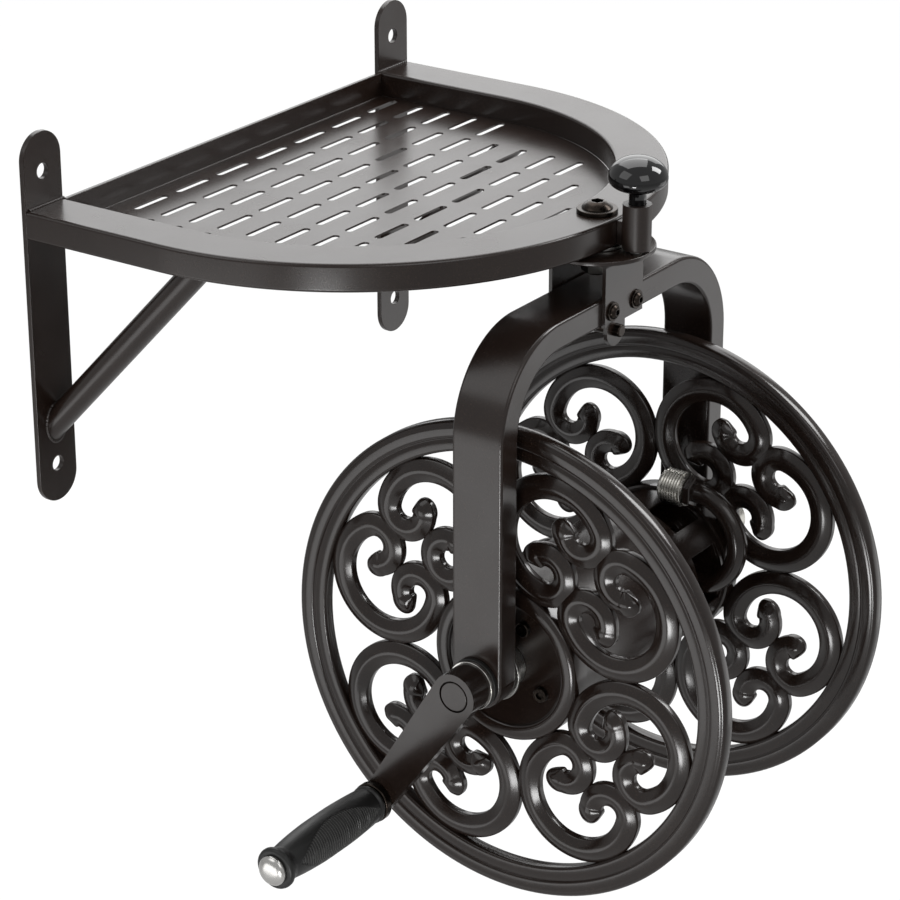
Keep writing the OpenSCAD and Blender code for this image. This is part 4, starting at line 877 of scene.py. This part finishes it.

# The ribs' crests carry a painted highlight and the grooves a painted shade, which keeps fine ribs readable.
rubber_tree = grip_rubber.node_tree
rubber_shader = rubber_tree.nodes["Principled BSDF"]
rubber_plain = rubber_shader.inputs["Base Color"].links[0].from_socket
rubber_groove = add_node(rubber_tree, "ShaderNodeAttribute", attribute_name="groove")
# Painted light on the ribs: the pale crest colour is a painted highlight, the near-black groove colour a
# painted shade.
rib_painted_highlight_and_shade = add_node(rubber_tree, "ShaderNodeValToRGB", {0: rubber_groove.outputs["Fac"]})
rib_painted_highlight_and_shade.color_ramp.elements[0].position = 0.24
rib_painted_highlight_and_shade.color_ramp.elements[0].color = linear("#4a4a48")
rib_painted_highlight_and_shade.color_ramp.elements[1].position = 0.45
rib_painted_highlight_and_shade.color_ramp.elements[1].color = linear("#040404")
rubber_panel = add_node(rubber_tree, "ShaderNodeMath", {0: rubber_groove.outputs["Fac"], 1: 0.2},
                        operation="GREATER_THAN")
# Inside the ribbed panel the rubber takes the painted rib highlight and shade instead of its plain colour.
rubber_with_painted_rib_light = add_node(rubber_tree, "ShaderNodeMix", {0: rubber_panel.outputs[0], 6: rubber_plain,
                                                     7: rib_painted_highlight_and_shade.outputs["Color"]}, data_type="RGBA")
rubber_tree.links.new(rubber_with_painted_rib_light.outputs[2], rubber_shader.inputs["Base Color"])

grip_start_mesh = turned("grip", grip_profile, Matrix.Identity(4), 128, closed=True)
panel_turn = Matrix.Rotation(math.radians(10), 4, "Z")
grip_start_mesh.transform(panel_turn.inverted())
grip_mesh = run_tree(rib_tree, grip_start_mesh, {"Middle": (grip_start + barrel_l * 0.52) / 1000,
                                                 "Half length": barrel_l * 0.46 / 1000,
                                                 "Half angle": math.radians(64), "Pitch": 2.3 / 1000,
                                                 "Depth": 1.1 / 1000, "Finish": grip_rubber})
grip_mesh.transform(spindle_place @ panel_turn)
fit_piece("grip_sleeve", grip_mesh, grip_rubber, ["grip"], crease=60)
dress("grip_spindle", "crank_spindle", zinc_steel, edge_mm=0.5)
dress("grip_spindle_nut", "spindle_nut", zinc_steel, edge_mm=0.6)
dress("grip_stop_collar", "grip_collar", black_steel, edge_mm=1.0)
low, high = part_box("grip_cap")
cap_r = (high.z - low.z) * 500
cap_base = -high.x * 1000
cap_h = -low.x * 1000 - cap_base
cap_profile = [(0, cap_base), (cap_r - 0.4, cap_base), (cap_r, cap_base + 0.4), (cap_r, cap_base + 1.6)]
cap_profile += [(cap_r * math.cos(math.radians(a)) ** 0.75 if a < 90 else 0,
                 cap_base + 1.6 + (cap_h - 1.6) * math.sin(math.radians(a))) for a in range(6, 91, 6)]
fit_piece("grip_domed_cap", turned("cap", cap_profile, spindle_place, 96), polished_cap,
          ["grip_cap"])

# Inlet. A plated brass swivel on the axle's far end with a branch down to the supply hose, held by a
# spring clip and sealed by two rubber rings.
seal_rubber = moulded("nitrile_seal", "#0f0f0f", "#161615", 0.45, 1.5, 0.01, 1.52)
dress("inlet_swivel_body", "inlet_elbow", plated_brass, edge_mm=1.2)
dress("inlet_spring_clip", "inlet_clip", zinc_steel, edge_mm=0.2)
paint_node("inlet_seals", seal_rubber)
low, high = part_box("inlet_fitting")
inlet_seat = Vector(((low.x + high.x) / 2, (low.y + high.y) / 2, high.z))
inlet_place = Matrix.Translation(inlet_seat) @ Matrix.Rotation(math.pi, 4, "X")
inlet_bore = 6.6
fit_piece("inlet_hose_thread", fitting_thread("inlet_thread", inlet_bore, inlet_place), plated_brass,
          ["inlet_fitting"], crease=35)
inlet_collar = fitting_collar("inlet_collar", inlet_bore, 13.9, inlet_place)
add_piece("inlet_hose_collar", inlet_collar, plated_brass, "inlet", crease=35)

# Studio. A pale floor well below the reel, a white surround that glossy finishes see at part strength,
# and soft lamps and cards above, behind and in front.
floor_z = cad_box[0][2] - 0.55
floor_half = 12.0
glossy_share = 0.25


def white_share(tree):
    """How much of the white a ray sees: all for a view or through glass, part for a gloss."""
    ray = add_node(tree, "ShaderNodeLightPath")
    clear = add_node(tree, "ShaderNodeMath", {0: ray.outputs["Is Camera Ray"],
                                              1: ray.outputs["Is Transmission Ray"]}, operation="MAXIMUM")
    gloss = add_node(tree, "ShaderNodeMath", {0: ray.outputs["Is Glossy Ray"], 1: glossy_share},
                     operation="MULTIPLY")
    return add_node(tree, "ShaderNodeMath", {0: clear.outputs[0], 1: gloss.outputs[0]}, operation="MAXIMUM")


floor_mesh = bpy.data.meshes.new("floor")
floor_corners = [(x * floor_half, y * floor_half, floor_z) for x, y in ((-1, -1), (1, -1), (1, 1), (-1, 1))]
floor_mesh.from_pydata(floor_corners, [], [(0, 1, 2, 3)])
floor = add_object("floor", floor_mesh)
floor_paint = bpy.data.materials.new("pale_floor")
floor_paint.use_nodes = True
floor_tree = floor_paint.node_tree
floor_tree.nodes["Principled BSDF"].inputs["Base Color"].default_value = linear("#bdbdbd")
floor_tree.nodes["Principled BSDF"].inputs["Roughness"].default_value = 0.9
floor_seen = white_share(floor_tree)
floor_share = add_node(floor_tree, "ShaderNodeMath", {0: floor_seen.outputs[0], 1: 0.88},
                       operation="MULTIPLY")
floor_white = add_node(floor_tree, "ShaderNodeEmission", {"Color": (1, 1, 1, 1), "Strength": 1.12})
floor_mix = add_node(floor_tree, "ShaderNodeMixShader", {0: floor_share.outputs[0],
                                                         1: floor_tree.nodes["Principled BSDF"].outputs[0],
                                                         2: floor_white.outputs[0]})
floor_tree.links.new(floor_mix.outputs[0], floor_tree.nodes["Material Output"].inputs["Surface"])
floor_mesh.materials.append(floor_paint)

surround = bpy.data.worlds.new("white_surround")
surround.use_nodes = True
bpy.context.scene.world = surround
sky_tree = surround.node_tree
sky_seen = white_share(sky_tree)
sky_level = add_node(sky_tree, "ShaderNodeMapRange",
                     {"Value": sky_seen.outputs[0], "To Min": 0.25, "To Max": 1.0})
sky_tree.nodes["Background"].inputs["Color"].default_value = (1, 1, 1, 1)
sky_tree.links.new(sky_level.outputs["Result"], sky_tree.nodes["Background"].inputs["Strength"])

target = Vector((0, -0.26, -0.12))
softboxes = {"back_softbox": ((1.7, 0.75, 0.8), (2.2, 1.3), 15.0),
             "right_window": ((0.86, -0.95, 0.94), (0.48, 0.7), 10.0),
             "low_card": ((1.25, -1.25, -0.72), (1.1, 0.9), 2.6),
             "left_card": ((-1.3, 0.2, -0.75), (1.1, 0.8), 3.8),
             "left_strip": ((-1.5, -0.82, -0.76), (0.36, 0.34), 6.4),
             "upper_left_card": ((-1.2, 0.4, 1.2), (1.2, 1.2), 4.5),
             "front_softbox": ((-0.9, -1.9, 1.3), (1.2, 1.2), 6.5),
             "top_softbox": ((0.8, 0.5, 1.8), (1.8, 1.8), 22.0)}
for name, (place, size, power) in softboxes.items():
    lamp = bpy.data.lights.new(name, "AREA")
    lamp.shape = "RECTANGLE"
    lamp.size, lamp.size_y = size
    lamp.energy = power
    stand = add_object(name, lamp)
    stand.location = place
    stand.rotation_euler = (target - Vector(place)).to_track_quat("-Z", "Y").to_euler()
    stand.visible_camera = False

bpy.context.scene.view_settings.view_transform = "Standard"
